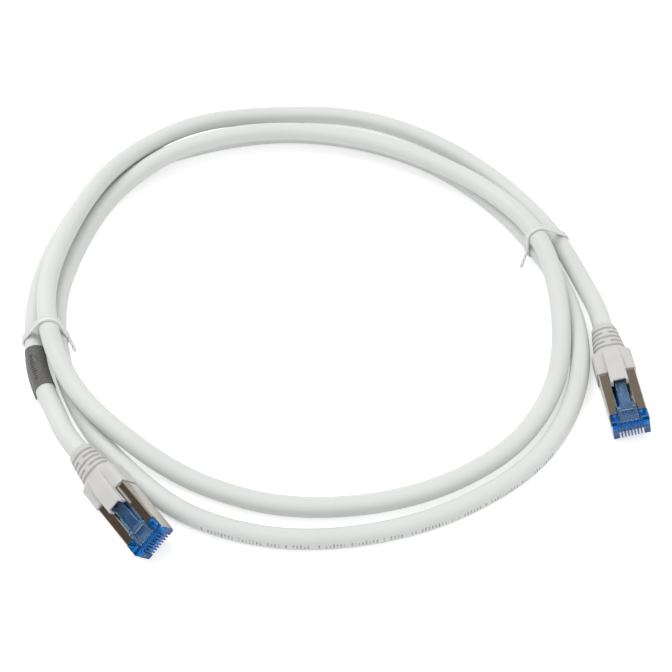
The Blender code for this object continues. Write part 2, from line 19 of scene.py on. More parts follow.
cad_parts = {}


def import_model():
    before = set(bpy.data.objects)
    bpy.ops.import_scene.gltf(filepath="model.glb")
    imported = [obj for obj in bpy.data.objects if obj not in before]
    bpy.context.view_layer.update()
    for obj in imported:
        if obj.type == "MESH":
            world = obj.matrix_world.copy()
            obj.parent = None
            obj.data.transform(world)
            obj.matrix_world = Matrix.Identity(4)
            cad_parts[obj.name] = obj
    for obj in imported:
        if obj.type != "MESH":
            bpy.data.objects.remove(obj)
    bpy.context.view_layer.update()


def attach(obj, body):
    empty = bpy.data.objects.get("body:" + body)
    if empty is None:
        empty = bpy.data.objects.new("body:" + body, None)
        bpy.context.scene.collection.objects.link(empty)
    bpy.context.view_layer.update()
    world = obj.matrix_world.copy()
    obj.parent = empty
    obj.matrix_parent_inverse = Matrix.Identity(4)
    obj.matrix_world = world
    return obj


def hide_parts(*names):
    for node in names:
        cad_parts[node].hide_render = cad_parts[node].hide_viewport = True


LOG = logging.getLogger("patch_cable")
Colour = tuple[float, float, float]
Point2 = tuple[float, float]
Shape = bmesh.types.BMesh

MM = 0.001
CABLE_RADIUS = 3.2 * MM
LOOP_CENTRE = Vector((-13.792 * MM, 52.828 * MM))
BEYOND = 7 * MM  # past every side of a plug, for cutters that run out of it


# Shader expressions


class Channel:
    """A value that varies over a surface; arithmetic on it adds Math nodes."""

    def __init__(self, graph: Graph, socket: bpy.types.NodeSocket) -> None:
        """Wrap a node's output socket."""
        self.graph = graph
        self.socket = socket

    def __add__(self, other: Channel | float) -> Channel:
        """Sum."""
        return self.graph.math("ADD", self, other)

    __radd__ = __add__

    def __sub__(self, other: Channel | float) -> Channel:
        """Difference."""
        return self.graph.math("SUBTRACT", self, other)

    def __rsub__(self, other: Channel | float) -> Channel:
        """Difference from a number."""
        return self.graph.math("SUBTRACT", other, self)

    def __mul__(self, other: Channel | float) -> Channel:
        """Product."""
        return self.graph.math("MULTIPLY", self, other)

    __rmul__ = __mul__

    def __truediv__(self, other: Channel | float) -> Channel:
        """Quotient."""
        return self.graph.math("DIVIDE", self, other)

    def step(self, low: float, high: float) -> Channel:
        """Rise smoothly from 0 at low to 1 at high, or fall if low is above high.

        Args:
            low: Value where the result is 0.
            high: Value where the result is 1.

        Returns:
            The smoothed step.
        """
        if low > high:
            return 1.0 - self.step(high, low)
        node = self.graph.node("ShaderNodeMapRange", {"interpolation_type": "SMOOTHSTEP"},
                               {"Value": self, "From Min": low, "From Max": high})
        return Channel(self.graph, node.outputs["Result"])

    def band(self, low: float, high: float, soft: float) -> Channel:
        """1 between two values with soft edges, 0 elsewhere."""
        return self.step(low - soft, low + soft) * self.step(high + soft, high - soft)

    def floor(self) -> Channel:
        """The whole number below."""
        return self.graph.math("FLOOR", self)

    def fraction(self) -> Channel:
        """The part behind the point."""
        return self.graph.math("FRACT", self)

    def scatter(self) -> Channel:
        """A random number between 0 and 1 for each value."""
        node = self.graph.node("ShaderNodeTexWhiteNoise", {"noise_dimensions": "1D"}, {"W": self})
        return Channel(self.graph, node.outputs["Value"])


class Graph:
    """A material's node tree with one Principled shader, filled in from expressions."""

    def __init__(self, name: str) -> None:
        """Make an empty material."""
        self.material = bpy.data.materials.new(name)
        self.material.use_nodes = True
        self.tree = self.material.node_tree
        self.shader = self.tree.nodes["Principled BSDF"]
        self.places = self.tree.nodes.new("ShaderNodeTexCoord").outputs["Object"]

    def link(self, socket: bpy.types.NodeSocket, value: object) -> None:
        """Set a socket to a value, or link a channel or another socket to it.

        Args:
            socket: The input socket.
            value: A number, a colour, a channel or an output socket.
        """
        if isinstance(value, Channel):
            value = value.socket
        if isinstance(value, bpy.types.NodeSocket):
            self.tree.links.new(value, socket)
        elif isinstance(value, tuple) and len(value) == 3 and len(socket.default_value) == 4:
            socket.default_value = (*value, 1.0)
        else:
            socket.default_value = value

    def node(self, kind: str, settings: dict[str, object],
             inputs: dict[str | int, object]) -> bpy.types.Node:
        """Add a node.

        Args:
            kind: Node type.
            settings: Properties, set first.
            inputs: Values or links for the input sockets, by name or number.

        Returns:
            The node.
        """
        node = self.tree.nodes.new(kind)
        for name, value in settings.items():
            setattr(node, name, value)
        for key, value in inputs.items():
            self.link(node.inputs[key], value)
        return node

    def math(self, operation: str, *terms: Channel | float) -> Channel:
        """Add a Math node on one or two terms."""
        node = self.node("ShaderNodeMath", {"operation": operation}, dict(enumerate(terms)))
        return Channel(self, node.outputs[0])

    def noise(self, scale: float, detail: float = 2.0, stretch: Vector | None = None) -> Channel:
        """Noise in object space, about 0.5 on average.

        Args:
            scale: Features per metre.
            detail: Octaves.
            stretch: Scale of each axis before the noise, for streaks.

        Returns:
            The noise, from 0 to 1.
        """
        where = self.places
        if stretch is not None:
            mapping = self.node("ShaderNodeMapping", {}, {"Vector": where, "Scale": tuple(stretch)})
            where = mapping.outputs["Vector"]
        node = self.node("ShaderNodeTexNoise", {}, {"Vector": where, "Scale": scale, "Detail": detail})
        return Channel(self, node.outputs["Fac"])

    def attribute(self, name: str) -> Channel:
        """A number stored on the mesh's points."""
        node = self.node("ShaderNodeAttribute", {"attribute_name": name}, {})
        return Channel(self, node.outputs["Fac"])

    def along(self, axis: Vector) -> Channel:
        """Distance along an axis through the origin, in metres."""
        node = self.node("ShaderNodeVectorMath", {"operation": "DOT_PRODUCT"},
                         {0: self.places, 1: tuple(axis)})
        return Channel(self, node.outputs["Value"])

    def mix(self, factor: Channel | float, first: object, second: object) -> bpy.types.NodeSocket:
        """Blend two colours by a factor."""
        node = self.node("ShaderNodeMix", {"data_type": "RGBA"}, {"Factor": factor, 6: first, 7: second})
        return node.outputs[2]

    def bump(self, height: Channel, depth: float, strength: float = 1.0) -> bpy.types.NodeSocket:
        """A normal from a height between 0 and 1 that is worth depth in metres."""
        node = self.node("ShaderNodeBump", {}, {"Height": height, "Distance": depth, "Strength": strength})
        return node.outputs["Normal"]

    def finish(self, **sockets: object) -> bpy.types.Material:
        """Set the shader's sockets.

        Args:
            **sockets: Values or links, with underscores for the spaces in the sockets' names.

        Returns:
            The finished material.
        """
        for name, value in sockets.items():
            self.link(self.shader.inputs[name.replace("_", " ")], value)
        return self.material


def shade(colour: Colour, factor: float) -> Colour:
    """A colour made lighter or darker."""
    return (colour[0] * factor, colour[1] * factor, colour[2] * factor)


# Finishes


@dataclass(frozen=True)
class JacketFinish:
    """Satin flexible jacket with a faint printed scale of plain ticks."""

    colour: Colour = (0.660, 0.680, 0.662)
    ink: Colour = (0.16, 0.16, 0.16)
    scale_start: float = 425 * MM
    scale_end: float = 540 * MM
    scale_turn: float = 0.725
    tick_pitch: float = 1.05 * MM
    ink_strength: float = 0.75

    def material(self) -> bpy.types.Material:
        """The jacket's material; it reads the along and turn attributes of the tube."""
        graph = Graph("jacket_satin")
        cloud = graph.noise(28.0, 3.0)
        grain = graph.noise(2600.0, 3.0)
        along = graph.attribute("along")
        turn = graph.attribute("turn")
        place = along / self.tick_pitch
        chance = place.floor().scatter()
        tick = place.fraction().band(0.24, 0.66, 0.08) * chance.step(0.16, 0.20)
        offset = graph.math("ABSOLUTE", turn - self.scale_turn)
        height = (0.022 + chance * 0.026 - offset).step(0.0, 0.006)
        zone = along.band(self.scale_start, self.scale_end, 0.4 * MM)
        worn = graph.noise(900.0, 2.0).step(0.28, 0.60)
        ink = tick * height * zone * worn * self.ink_strength
        base = graph.mix(cloud.step(0.3, 0.7), shade(self.colour, 0.975), shade(self.colour, 1.02))
        roughness = 0.36 + grain * 0.10 + cloud * 0.05
        return graph.finish(Base_Color=graph.mix(ink, base, self.ink), Roughness=roughness,
                            Normal=graph.bump(grain + cloud * 6.0, 0.02 * MM, 0.5), IOR=1.5)


@dataclass(frozen=True)
class MouldingFinish:
    """Satin injection-moulded plastic, very slightly grained and cloudy."""

    name: str
    colour: Colour
    roughness: float = 0.42
    grain_depth: float = 0.02 * MM

    def material(self) -> bpy.types.Material:
        """The moulding's material."""
        graph = Graph(self.name)
        cloud = graph.noise(160.0, 3.0)
        grain = graph.noise(3200.0, 2.0)
        base = graph.mix(cloud.step(0.3, 0.7), shade(self.colour, 0.97), shade(self.colour, 1.02))
        return graph.finish(Base_Color=base, Roughness=self.roughness - 0.05 + grain * 0.12,
                            Normal=graph.bump(grain + cloud * 2.0, self.grain_depth, 0.6), IOR=1.5)


@dataclass(frozen=True)
class ClearFinish:
    """See-through tinted polycarbonate with faint flow marks."""

    name: str
    colour: Colour
    deep: Colour
    clarity: float = 0.92

    def material(self) -> bpy.types.Material:
        """The clear plastic's material."""
        graph = Graph(self.name)
        flow = graph.noise(420.0, 2.0, Vector((1.0, 1.0, 2.0)))
        haze = graph.noise(1500.0, 2.0)
        base = graph.mix(flow.step(0.35, 0.65), self.colour, self.deep)
        return graph.finish(Base_Color=base, Roughness=0.02 + haze * 0.05, Transmission_Weight=self.clarity,
                            IOR=1.58, Normal=graph.bump(flow, 0.02 * MM, 0.4))


@dataclass(frozen=True)
class PlateFinish:
    """Plated metal with fine rolling streaks and small handling marks."""

    name: str
    colour: Colour
    roughness: float = 0.16
    streak: Vector = Vector((1.0, 1.0, 1.0))

    def material(self) -> bpy.types.Material:
        """The plated metal's material."""
        graph = Graph(self.name)
        streaks = graph.noise(900.0, 3.0, self.streak)
        cloud = graph.noise(220.0, 2.0)
        base = graph.mix(cloud.step(0.3, 0.7), shade(self.colour, 0.94), shade(self.colour, 1.03))
        return graph.finish(Base_Color=base, Metallic=1.0,
                            Roughness=self.roughness + streaks * 0.12 + cloud * 0.05,
                            Normal=graph.bump(streaks + cloud, 0.008 * MM, 0.5))


@dataclass(frozen=True)
class WireFinish:
    """Conductor insulation: a pair's own colour, or white with rings of it."""

    name: str
    colour: Colour
    ringed: bool
    axis: Vector
    white: Colour = (0.80, 0.80, 0.78)
    ring_pitch: float = 3.2 * MM

    def material(self) -> bpy.types.Material:
        """The insulation's material, ringed along the plug's axis."""
        graph = Graph(self.name)
        grain = graph.noise(2400.0, 2.0)
        base: object = graph.mix(grain.step(0.3, 0.7), shade(self.colour, 0.92), self.colour)
        if self.ringed:
            ring = (graph.along(self.axis) / self.ring_pitch).fraction().band(0.2, 0.6, 0.03)
            base = graph.mix(ring, self.white, base)
        return graph.finish(Base_Color=base, Roughness=0.36 + grain * 0.14,
                            Normal=graph.bump(grain, 0.01 * MM))


@dataclass(frozen=True)
class FilmFinish:
    """Dark printed film of the marker sleeve, with a plain tick scale."""

    length: float
    colour: Colour = (0.124, 0.122, 0.119)
    ink: Colour = (0.012, 0.012, 0.012)
    scale_turn: float = 0.375
    bar_pitch: float = 1.0 * MM
    ink_strength: float = 0.8

    def material(self) -> bpy.types.Material:
        """The film's material; it reads the along and turn attributes of the sleeve."""
        graph = Graph("marker_film")
        fleck = graph.noise(1900.0, 3.0)
        cloud = graph.noise(260.0, 2.0)
        along = graph.attribute("along")
        place = along / self.bar_pitch
        bar = place.fraction().band(0.22, 0.72, 0.08)
        reach = 0.012 + place.floor().scatter() * 0.010
        offset = graph.math("ABSOLUTE", graph.attribute("turn") - self.scale_turn)
        height = (reach - offset).step(0.0, 0.006)
        zone = along.band(0.16 * self.length, 0.80 * self.length, 0.3 * MM)
        ink = bar * height * zone * self.ink_strength
        base = graph.mix(fleck.step(0.25, 0.75), shade(self.colour, 0.72), shade(self.colour, 1.25))
        return graph.finish(Base_Color=graph.mix(ink, base, self.ink), Roughness=0.40 + cloud * 0.15,
                            Normal=graph.bump(fleck + cloud, 0.015 * MM, 0.6))


@dataclass(frozen=True)
class TieFinish:
    """Milky plastic strip over a thin wire."""

    colour: Colour = (0.73, 0.74, 0.73)

    def material(self) -> bpy.types.Material:
        """The strip's material."""
        graph = Graph("tie_strip")
        cloud = graph.noise(700.0, 3.0)
        base = graph.mix(cloud.step(0.3, 0.7), shade(self.colour, 0.96), shade(self.colour, 1.03))
        return graph.finish(Base_Color=base, Roughness=0.26 + cloud * 0.18, Coat_Weight=0.25,
                            Normal=graph.bump(cloud, 0.03 * MM, 0.6), IOR=1.5)


# Mesh helpers


class Cut(Enum):
    """What a helper shape does to a piece."""

    TAKE = "DIFFERENCE"
    ADD = "UNION"


def add_block(shape: Shape, low: Sequence[float], high: Sequence[float]) -> None:
    """Add a box between two corners.

    Args:
        shape: Mesh to add to.
        low: Its lowest corner.
        high: Its highest corner.
    """
    size = Vector(high) - Vector(low)
    middle = (Vector(high) + Vector(low)) / 2
    matrix = Matrix.Translation(middle) @ Matrix.Diagonal((*size, 1.0))
    bmesh.ops.create_cube(shape, size=1.0, matrix=matrix)


def add_rod(shape: Shape, start: float, end: float, radius: float, sides: int = 48) -> None:
    """Add a closed cylinder along x, on the axis.

    Args:
        shape: Mesh to add to.
        start: Its lowest x.
        end: Its highest x.
        radius: Its radius.
        sides: Faces round it.
    """
    matrix = Matrix.Translation(((start + end) / 2, 0, 0)) @ Matrix.Rotation(math.radians(90), 4, "Y")
    bmesh.ops.create_cone(shape, cap_ends=True, segments=sides, radius1=radius, radius2=radius,
                          depth=end - start, matrix=matrix)


def add_loop(shape: Shape, points: Iterable[Sequence[float]],
             closed: bool = True) -> list[bmesh.types.BMEdge]:
    """Add a chain of edges through points.

    Args:
        shape: Mesh to add to.
        points: Points in order.
        closed: Whether the last point joins the first.

    Returns:
        Its edges.
    """
    corners = [shape.verts.new(point) for point in points]
    pairs = list(zip(corners, corners[1:]))
    if closed:
        pairs.append((corners[-1], corners[0]))
    return [shape.edges.new(pair) for pair in pairs]


def add_skin(shape: Shape, sections: Sequence[Sequence[Sequence[float]]]) -> None:
    """Bridge closed sections that follow each other and close both ends.

    Args:
        shape: Mesh to add to.
        sections: Corners of each section, in order.
    """
    loops = [add_loop(shape, section) for section in sections]
    for near, far in zip(loops, loops[1:]):
        bmesh.ops.bridge_loops(shape, edges=near + far)
    for end in (loops[0], loops[-1]):
        bmesh.ops.edgeloop_fill(shape, edges=end)


def sweep(shape: Shape, frames: Sequence[Matrix], profile: Sequence[Point2],
          closed: bool = False) -> None:
    """Draw a closed profile along frames by extruding it, and store along and turn on the points.

    Args:
        shape: Mesh to add to.
        frames: Places whose x and y axes carry the profile and whose z axis runs ahead.
        profile: Points of the profile.
        closed: Whether the last section joins the first.
    """
    along = shape.verts.layers.float.get("along") or shape.verts.layers.float.new("along")
    turn = shape.verts.layers.float.get("turn") or shape.verts.layers.float.new("turn")
    first = add_loop(shape, [frames[0] @ Vector((x, y, 0)) for x, y in profile])
    for index, edge in enumerate(first):
        edge.verts[0][turn] = index / len(profile)
    ring = first
    distance = 0.0
    for before, after in zip(frames, frames[1:]):
        made = bmesh.ops.extrude_edge_only(shape, edges=ring)["geom"]
        points = [item for item in made if isinstance(item, bmesh.types.BMVert)]
        ring = [item for item in made if isinstance(item, bmesh.types.BMEdge)]
        bmesh.ops.transform(shape, matrix=after @ before.inverted(), verts=points)
        distance += (after.translation - before.translation).length
        for point in points:
            point[along] = distance
    if closed:
        bmesh.ops.bridge_loops(shape, edges=ring + first)
    else:
        for end in (first, ring):
            bmesh.ops.edgeloop_fill(shape, edges=end)


def rectangle(x: float, half: float, low: float, high: float) -> list[tuple[float, float, float]]:
    """The corners of an upright section at x."""
    return [(x, -half, low), (x, half, low), (x, half, high), (x, -half, high)]


@dataclass
class Piece:
    """A named mesh object while it is being made."""

    name: str
    build: Callable[[Shape], None]
    finish: bpy.types.Material

    def __post_init__(self) -> None:
        """Run the builder and link the object."""
        shape = bmesh.new()
        self.build(shape)
        bmesh.ops.remove_doubles(shape, verts=shape.verts, dist=0.0005 * MM)
        bmesh.ops.recalc_face_normals(shape, faces=shape.faces)
        mesh = bpy.data.meshes.new(self.name)
        shape.to_mesh(mesh)
        shape.free()
        self.thing = bpy.data.objects.new(self.name, mesh)
        bpy.context.collection.objects.link(self.thing)
        mesh.materials.append(self.finish)

    def settle(self) -> None:
        """Apply the modifiers and keep the result as the mesh."""
        graph = bpy.context.evaluated_depsgraph_get()
        mesh = bpy.data.meshes.new_from_object(self.thing.evaluated_get(graph))
        self.thing.modifiers.clear()
        self.thing.data = mesh

    def cut(self, build: Callable[[Shape], None], how: Cut = Cut.TAKE) -> None:
        """Take a helper shape away from the piece, or add it.

        Args:
            build: Makes the helper's mesh.
            how: Whether it is taken away or added.
        """
        helper = Piece(self.name + "_helper", build, self.finish)
        modifier = self.thing.modifiers.new("cut", "BOOLEAN")
        modifier.operation = how.value
        modifier.solver = "EXACT"
        modifier.object = helper.thing
        self.settle()
        bpy.data.objects.remove(helper.thing, do_unlink=True)

    def cut_block(self, low: Sequence[float], high: Sequence[float]) -> None:
        """Take a box away from the piece."""
        self.cut(lambda shape: add_block(shape, low, high))

    def soften(self, width: float, segments: int = 2, angle: float = 35.0) -> None:
        """Round the sharp edges with a Bevel modifier.

        Args:
            width: Width of the rounding.
            segments: Faces across it.
            angle: Edges sharper than this are rounded, in degrees.
        """
        modifier = self.thing.modifiers.new("soft_edges", "BEVEL")
        modifier.width = width
        modifier.segments = segments
        modifier.limit_method = "ANGLE"
        modifier.angle_limit = math.radians(angle)
        self.settle()

    def place(self, matrix: Matrix, body: str, slot: str, angle: float = 40.0,
              flat_faces: bool = True) -> bpy.types.Object:
        """Shade the mesh, move it to its place and give it to a body.

        Args:
            matrix: Where the piece's own frame lies.
            body: Moving body that carries it.
            slot: The record's material slot; not used.
            angle: Edges sharper than this stay sharp, in degrees.
            flat_faces: Whether the large faces keep the normals flat.

        Returns:
            The finished object.
        """
        self.thing.data.shade_smooth()
        self.thing.data.set_sharp_from_angle(angle=math.radians(angle))
        if flat_faces:
            modifier = self.thing.modifiers.new("flat_faces", "WEIGHTED_NORMAL")
            modifier.keep_sharp = True
            modifier.weight = 100
            self.settle()
        mesh = self.thing.data
        mesh.transform(matrix)
        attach(self.thing, body)
        LOG.info("%s: %d faces, rides on %s", self.name, len(mesh.polygons), body)
        return self.thing


# Route of the cable


@dataclass
class Route:
    """The cable's course: out of plug A, round the loop and into plug B."""

    strand_pitch: float = 6.7 * MM
    straight_run: float = 7 * MM
    stations: tuple[tuple[float, float, float], ...] = (
        (207, 0.0946, 0.32), (194, 0.0955, 0.14), (181, 0.0961, 0.18), (160, 0.0983, 0.0),
        (140, 0.1010, 0.0), (120, 0.0946, 0.0), (100, 0.0901, 0.0), (80, 0.0858, 0.0),
        (60, 0.0825, 0.0), (40, 0.0804, 0.0), (21, 0.0804, 0.18), (7, 0.0830, 0.06),
        (-7, 0.0863, 0.0), (-22, 0.0890, 0.0), (-40, 0.0904, 0.0), (-60, 0.0892, 0.0),
        (-80, 0.0889, 0.0), (-100, 0.0898, 0.0), (-118, 0.0896, 0.0), (-130, 0.0879, 0.0),
        (-142, 0.0872, 0.0), (-158, 0.0872, 0.0), (-179, 0.0889, 0.18), (-200, 0.0910, 0.0),
        (-218, 0.0938, 0.20), (-231, 0.0922, 0.68), (-244, 0.0896, 0.82), (-260, 0.0858, 0.81),
        (-280, 0.0814, 0.82), (-300, 0.0779, 0.98), (-320, 0.0787, 1.0), (-339, 0.0796, 1.19),
        (-360, 0.0796, 0.80), (-380, 0.0816, 0.05), (-400, 0.0818, 0.0), (-420, 0.0798, 0.0),
        (-440, 0.0783, 0.0), (-460, 0.0783, 0.0), (-480, 0.0788, 0.05), (-498, 0.0822, 0.76),
        (-512, 0.0860, 1.03), (-539, 0.0914, 1.16), (-560, 0.0939, 1.03), (-580, 0.0983, 1.04),
        (-600, 0.0998, 0.90), (-620, 0.1009, 0.06), (-640, 0.0984, 0.0), (-660, 0.0932, 0.0),
        (-680, 0.0896, 0.0), (-699, 0.0888, 0.18), (-712, 0.0904, 0.16),
    )

    def station(self, angle: float, radius: float, lift: float) -> Vector:
        """A point of the loop.

        Args:
            angle: Its direction from the loop's centre, in degrees.
            radius: Its distance from there.
            lift: How many strands it lies above the surface.

        Returns:
            The point.
        """
        turn = math.radians(angle)
        x = LOOP_CENTRE.x + radius * math.cos(turn)
        y = LOOP_CENTRE.y + radius * math.sin(turn)
        return Vector((x, y, CABLE_RADIUS + lift * self.strand_pitch))

    def tangent(self, before: Vector, point: Vector, after: Vector) -> Vector:
        """The curve's direction at a point, from the distances to its two neighbours."""
        near = (point - before).length
        far = (after - point).length
        return ((point - before) * far / near + (after - point) * near / far) / (near + far)

    def curve(self, points: list[Vector], steps: int = 12) -> list[Vector]:
        """A smooth curve through the points that never sinks into the surface.

        Args:
            points: Points to pass.
            steps: Samples between two points.

        Returns:
            Samples of the curve.
        """
        padded = [2 * points[0] - points[1]] + points + [2 * points[-1] - points[-2]]
        samples = []
        for index in range(1, len(padded) - 2):
            before, start, end, after = padded[index - 1:index + 3]
            span = (end - start).length
            slope_in = self.tangent(before, start, end) * span
            slope_out = self.tangent(start, end, after) * span
            for step in range(steps):
                t = step / steps
                samples.append((2 * t ** 3 - 3 * t ** 2 + 1) * start + (t ** 3 - 2 * t ** 2 + t) * slope_in
                               + (3 * t ** 2 - 2 * t ** 3) * end + (t ** 3 - t ** 2) * slope_out)
        samples.append(points[-1])
        return [Vector((place.x, place.y, max(place.z, CABLE_RADIUS))) for place in samples]

    def points(self, plug_a: Plug, plug_b: Plug) -> list[Vector]:
        """Samples of the whole course, from the jacket's end in boot A to its end in boot B.

        Args:
            plug_a: The plug where the course starts.
            plug_b: The plug where it ends.

        Returns:
            The samples.
        """
        stops = (plug_a.cable_end, plug_a.boot_length / 3, 0.0, -self.straight_run)
        first = [plug_a.matrix() @ Vector((x, 0, 0)) for x in stops]
        last = [plug_b.matrix() @ Vector((x, 0, 0)) for x in reversed(stops)]
        return self.curve(first + [self.station(*station) for station in self.stations] + last)


def even(samples: Sequence[Vector], spacing: float) -> list[Vector]:
    """Points at even steps along a sampled line, both ends included.

    Args:
        samples: The line.
        spacing: About how far apart the points are.

    Returns:
        The points.
    """
    lengths = [0.0]
    for before, after in zip(samples, samples[1:]):
        lengths.append(lengths[-1] + (after - before).length)
    count = max(2, round(lengths[-1] / spacing) + 1)
    result = []
    index = 0
    for step in range(count):
        wanted = lengths[-1] * step / (count - 1)
        while index < len(lengths) - 2 and lengths[index + 1] < wanted:
            index += 1
        share = (wanted - lengths[index]) / (lengths[index + 1] - lengths[index])
        result.append(samples[index].lerp(samples[index + 1], share))
    return result


def frames_along(points: Sequence[Vector]) -> list[Matrix]:
    """Upright frames along a line: x to its right, y up, z ahead.

    Args:
        points: The line.

    Returns:
        A frame for each point.
    """
    result = []
    for index, point in enumerate(points):
        ahead = (points[min(index + 1, len(points) - 1)] - points[max(index - 1, 0)]).normalized()
        right = ahead.cross(Vector((0, 0, 1))).normalized()
        up = right.cross(ahead).normalized()
        result.append(Matrix.Translation(point) @ Matrix((right, up, ahead)).transposed().to_4x4())
    return result


# Cable with its sleeve and ties


@dataclass
class CableRun:
    """The jacket along the whole route, the marker sleeve and the twist ties."""

    line: list[Vector]
    ring_spacing: float = 2.0 * MM
    ring_sides: int = 32
    marker_middle: float = 54.9 * MM
    marker_length: float = 17.5 * MM
    marker_rings: int = 17
    film: float = 0.14 * MM
    film_gap: float = 0.08 * MM
    film_sides: int = 45
    seam: float = 200.0
    seam_gap: float = 4.0
    flap: float = 1.3 * MM
    flap_shift: float = 0.9 * MM
    tie_half_width: float = 1.2 * MM
    tie_gap: float = 0.12 * MM
    tie_sides: int = 72
    tail_length: float = 6.0 * MM
    tail_drop: float = 2.0 * MM
    tail_rings: int = 61
    tail_twist: float = 11.0

    def station_at(self, distance: float) -> Vector:
        """The point at a distance along the line.

        Args:
            distance: How far from its start.

        Returns:
            The point.
        """
        for before, after in zip(self.line, self.line[1:]):
            step = (after - before).length
            if distance <= step:
                return before.lerp(after, distance / step)
            distance -= step
        return self.line[-1]

    def jacket(self, exit_point: Vector, carried: list[bpy.types.Object]) -> bpy.types.Object:
        """The jacket tube.

        Args:
            exit_point: Where the cable leaves boot A; not used.
            carried: Separate pieces on the cable; not used.

        Returns:
            The finished tube.
        """
        points = even(self.line, self.ring_spacing)
        frames = frames_along(points)
        turns = [2 * math.pi * index / self.ring_sides for index in range(self.ring_sides)]
        circle = [(CABLE_RADIUS * math.sin(turn), -CABLE_RADIUS * math.cos(turn)) for turn in turns]
        finish = JacketFinish().material()
        piece = Piece("cable_jacket_skin", lambda shape: sweep(shape, frames, circle), finish)
        tube = piece.place(Matrix.Identity(4), "cable", "jacket", flat_faces=False)
        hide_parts("cable_jacket")
        length = sum((after - before).length for before, after in zip(points, points[1:]))
        return tube

    def marker(self) -> bpy.types.Object:
        """Film wrapped once round the cable, with the overlap standing off as a thin flap.

        Returns:
            The finished film.
        """
        inner = CABLE_RADIUS + self.film_gap
        outer = inner + self.film
        start = self.marker_middle - self.marker_length / 2
        last = self.marker_rings - 1
        places = [self.station_at(start + self.marker_length * step / last) for step in range(last + 1)]
        first = self.seam + self.seam_gap / 2
        pitch = (360 - self.seam_gap) / (self.film_sides - 1)
        turns = [math.radians(first + pitch * step) for step in range(self.film_sides)]
        section = [(outer * math.cos(turn), outer * math.sin(turn)) for turn in turns]
        section += [(inner * math.cos(turn), inner * math.sin(turn)) for turn in reversed(turns)]

        def wrap(shape: Shape) -> None:
            """The wrapped film and its loose edge."""
            frames = frames_along(places)
            sweep(shape, frames, section)
            hinge = math.radians(self.seam)
            out = Vector((math.cos(hinge), math.sin(hinge)))
            tangent = Vector((math.sin(hinge), -math.cos(hinge)))
            root = out * outer
            tip = root + tangent * 0.2 * MM + out * 0.15 * MM + Vector((-0.25, -1.0)).normalized() * self.flap
            strip = [tuple(root), tuple(tip), tuple(tip - out * self.film), tuple(root - out * self.film)]
            shift = Matrix.Translation((0, 0, -self.flap_shift))
            sweep(shape, [frame @ shift for frame in frames], strip)

        piece = Piece("marker_sleeve_film", wrap, FilmFinish(self.marker_length).material())
        thing = piece.place(Matrix.Identity(4), "cable", "marker", flat_faces=False)
        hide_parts("marker_sleeve")
        return thing

    def strands_at(self, angle: float) -> list[Vector]:
        """Find the strands that cross a radius of the loop.

        Args:
            angle: The radius's direction, in degrees.

        Returns:
            Their centres, as distance from the loop's centre and height.
        """
        wanted = math.radians(angle)
        found = []
        for before, after in zip(self.line, self.line[1:]):
            turns = []
            for point in (before, after):
                flat = point.to_2d() - LOOP_CENTRE
                turns.append((math.atan2(flat.y, flat.x) - wanted + math.pi) % (2 * math.pi) - math.pi)
            if turns[0] > 0 >= turns[1] and turns[0] - turns[1] < 1:
                middle = before.lerp(after, turns[0] / (turns[0] - turns[1]))
                found.append(Vector(((middle.to_2d() - LOOP_CENTRE).length, middle.z)))
        return found

    def band_section(self) -> list[Point2]:
        """Section of a tie's strip: flat, with a bead along each edge."""
        half = self.tie_half_width
        edge = [(half, 0.0), (half, 0.45 * MM), (0.8 * half, 0.68 * MM), (0.5 * half, 0.66 * MM),
                (0.3 * half, 0.38 * MM)]
        return [(-x, y) for x, y in edge] + edge[::-1]

    def tail_section(self) -> list[Point2]:
        """Section of a tie's twisted end: a flat bar with its corners taken off."""
        lower = [(-0.62 * MM, -0.2 * MM), (-0.45 * MM, -0.34 * MM),
                 (0.45 * MM, -0.34 * MM), (0.62 * MM, -0.2 * MM)]
        return lower + [(-x, -y) for x, y in lower]

    def tie(self, node: str, angle: float, tail_turn: float, tail_lean: float) -> bpy.types.Object:
        """A wire-cored strip drawn round the bundle, with its two ends twisted together.

        Args:
            node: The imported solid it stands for.
            angle: Where it crosses the loop, in degrees.
            tail_turn: Where round the bundle the ends stand out, in degrees from the outside.
            tail_lean: How far the ends lean along the cable, in degrees.

        Returns:
            The finished strip.
        """
        wanted = math.radians(angle)
        strands = self.strands_at(angle)
        outward = Vector((math.cos(wanted), math.sin(wanted), 0))
        along = Vector((-math.sin(wanted), math.cos(wanted), 0))
        upward = Vector((0, 0, 1))
        base = Vector((LOOP_CENTRE.x, LOOP_CENTRE.y, 0))

        def rim(turn: float, reach: float) -> Vector:
            """The outermost point of the bundle in a direction, so far off the strands' centres."""
            normal = Vector((math.cos(turn), math.sin(turn)))
            far = max(strands, key=lambda strand: strand.dot(normal))
            spot = far + reach * normal
            return base + outward * spot.x + Vector((0, 0, spot.y))

        def strip_frame(turn: float) -> Matrix:
            """The strip's frame at a direction round the bundle."""
            normal = outward * math.cos(turn) + Vector((0, 0, math.sin(turn)))
            ahead = along.cross(normal)
            matrix = Matrix((along, normal, ahead)).transposed().to_4x4()
            return Matrix.Translation(rim(turn, CABLE_RADIUS + self.tie_gap)) @ matrix

        def tail_spots() -> list[Vector]:
            """Points along the twisted end, which droops."""
            tail, lean = math.radians(tail_turn), math.radians(tail_lean)
            root = rim(tail, CABLE_RADIUS + 0.3 * MM)
            normal = outward * math.cos(tail) + Vector((0, 0, math.sin(tail)))
            way = (normal * math.cos(lean) + along * math.sin(lean)).normalized()
            spots = []
            for step in range(self.tail_rings):
                share = step / (self.tail_rings - 1)
                spot = root + way * share * self.tail_length - upward * share ** 2 * self.tail_drop
                spot.z = max(spot.z, 0.9 * MM)
                spots.append(spot)
            return spots

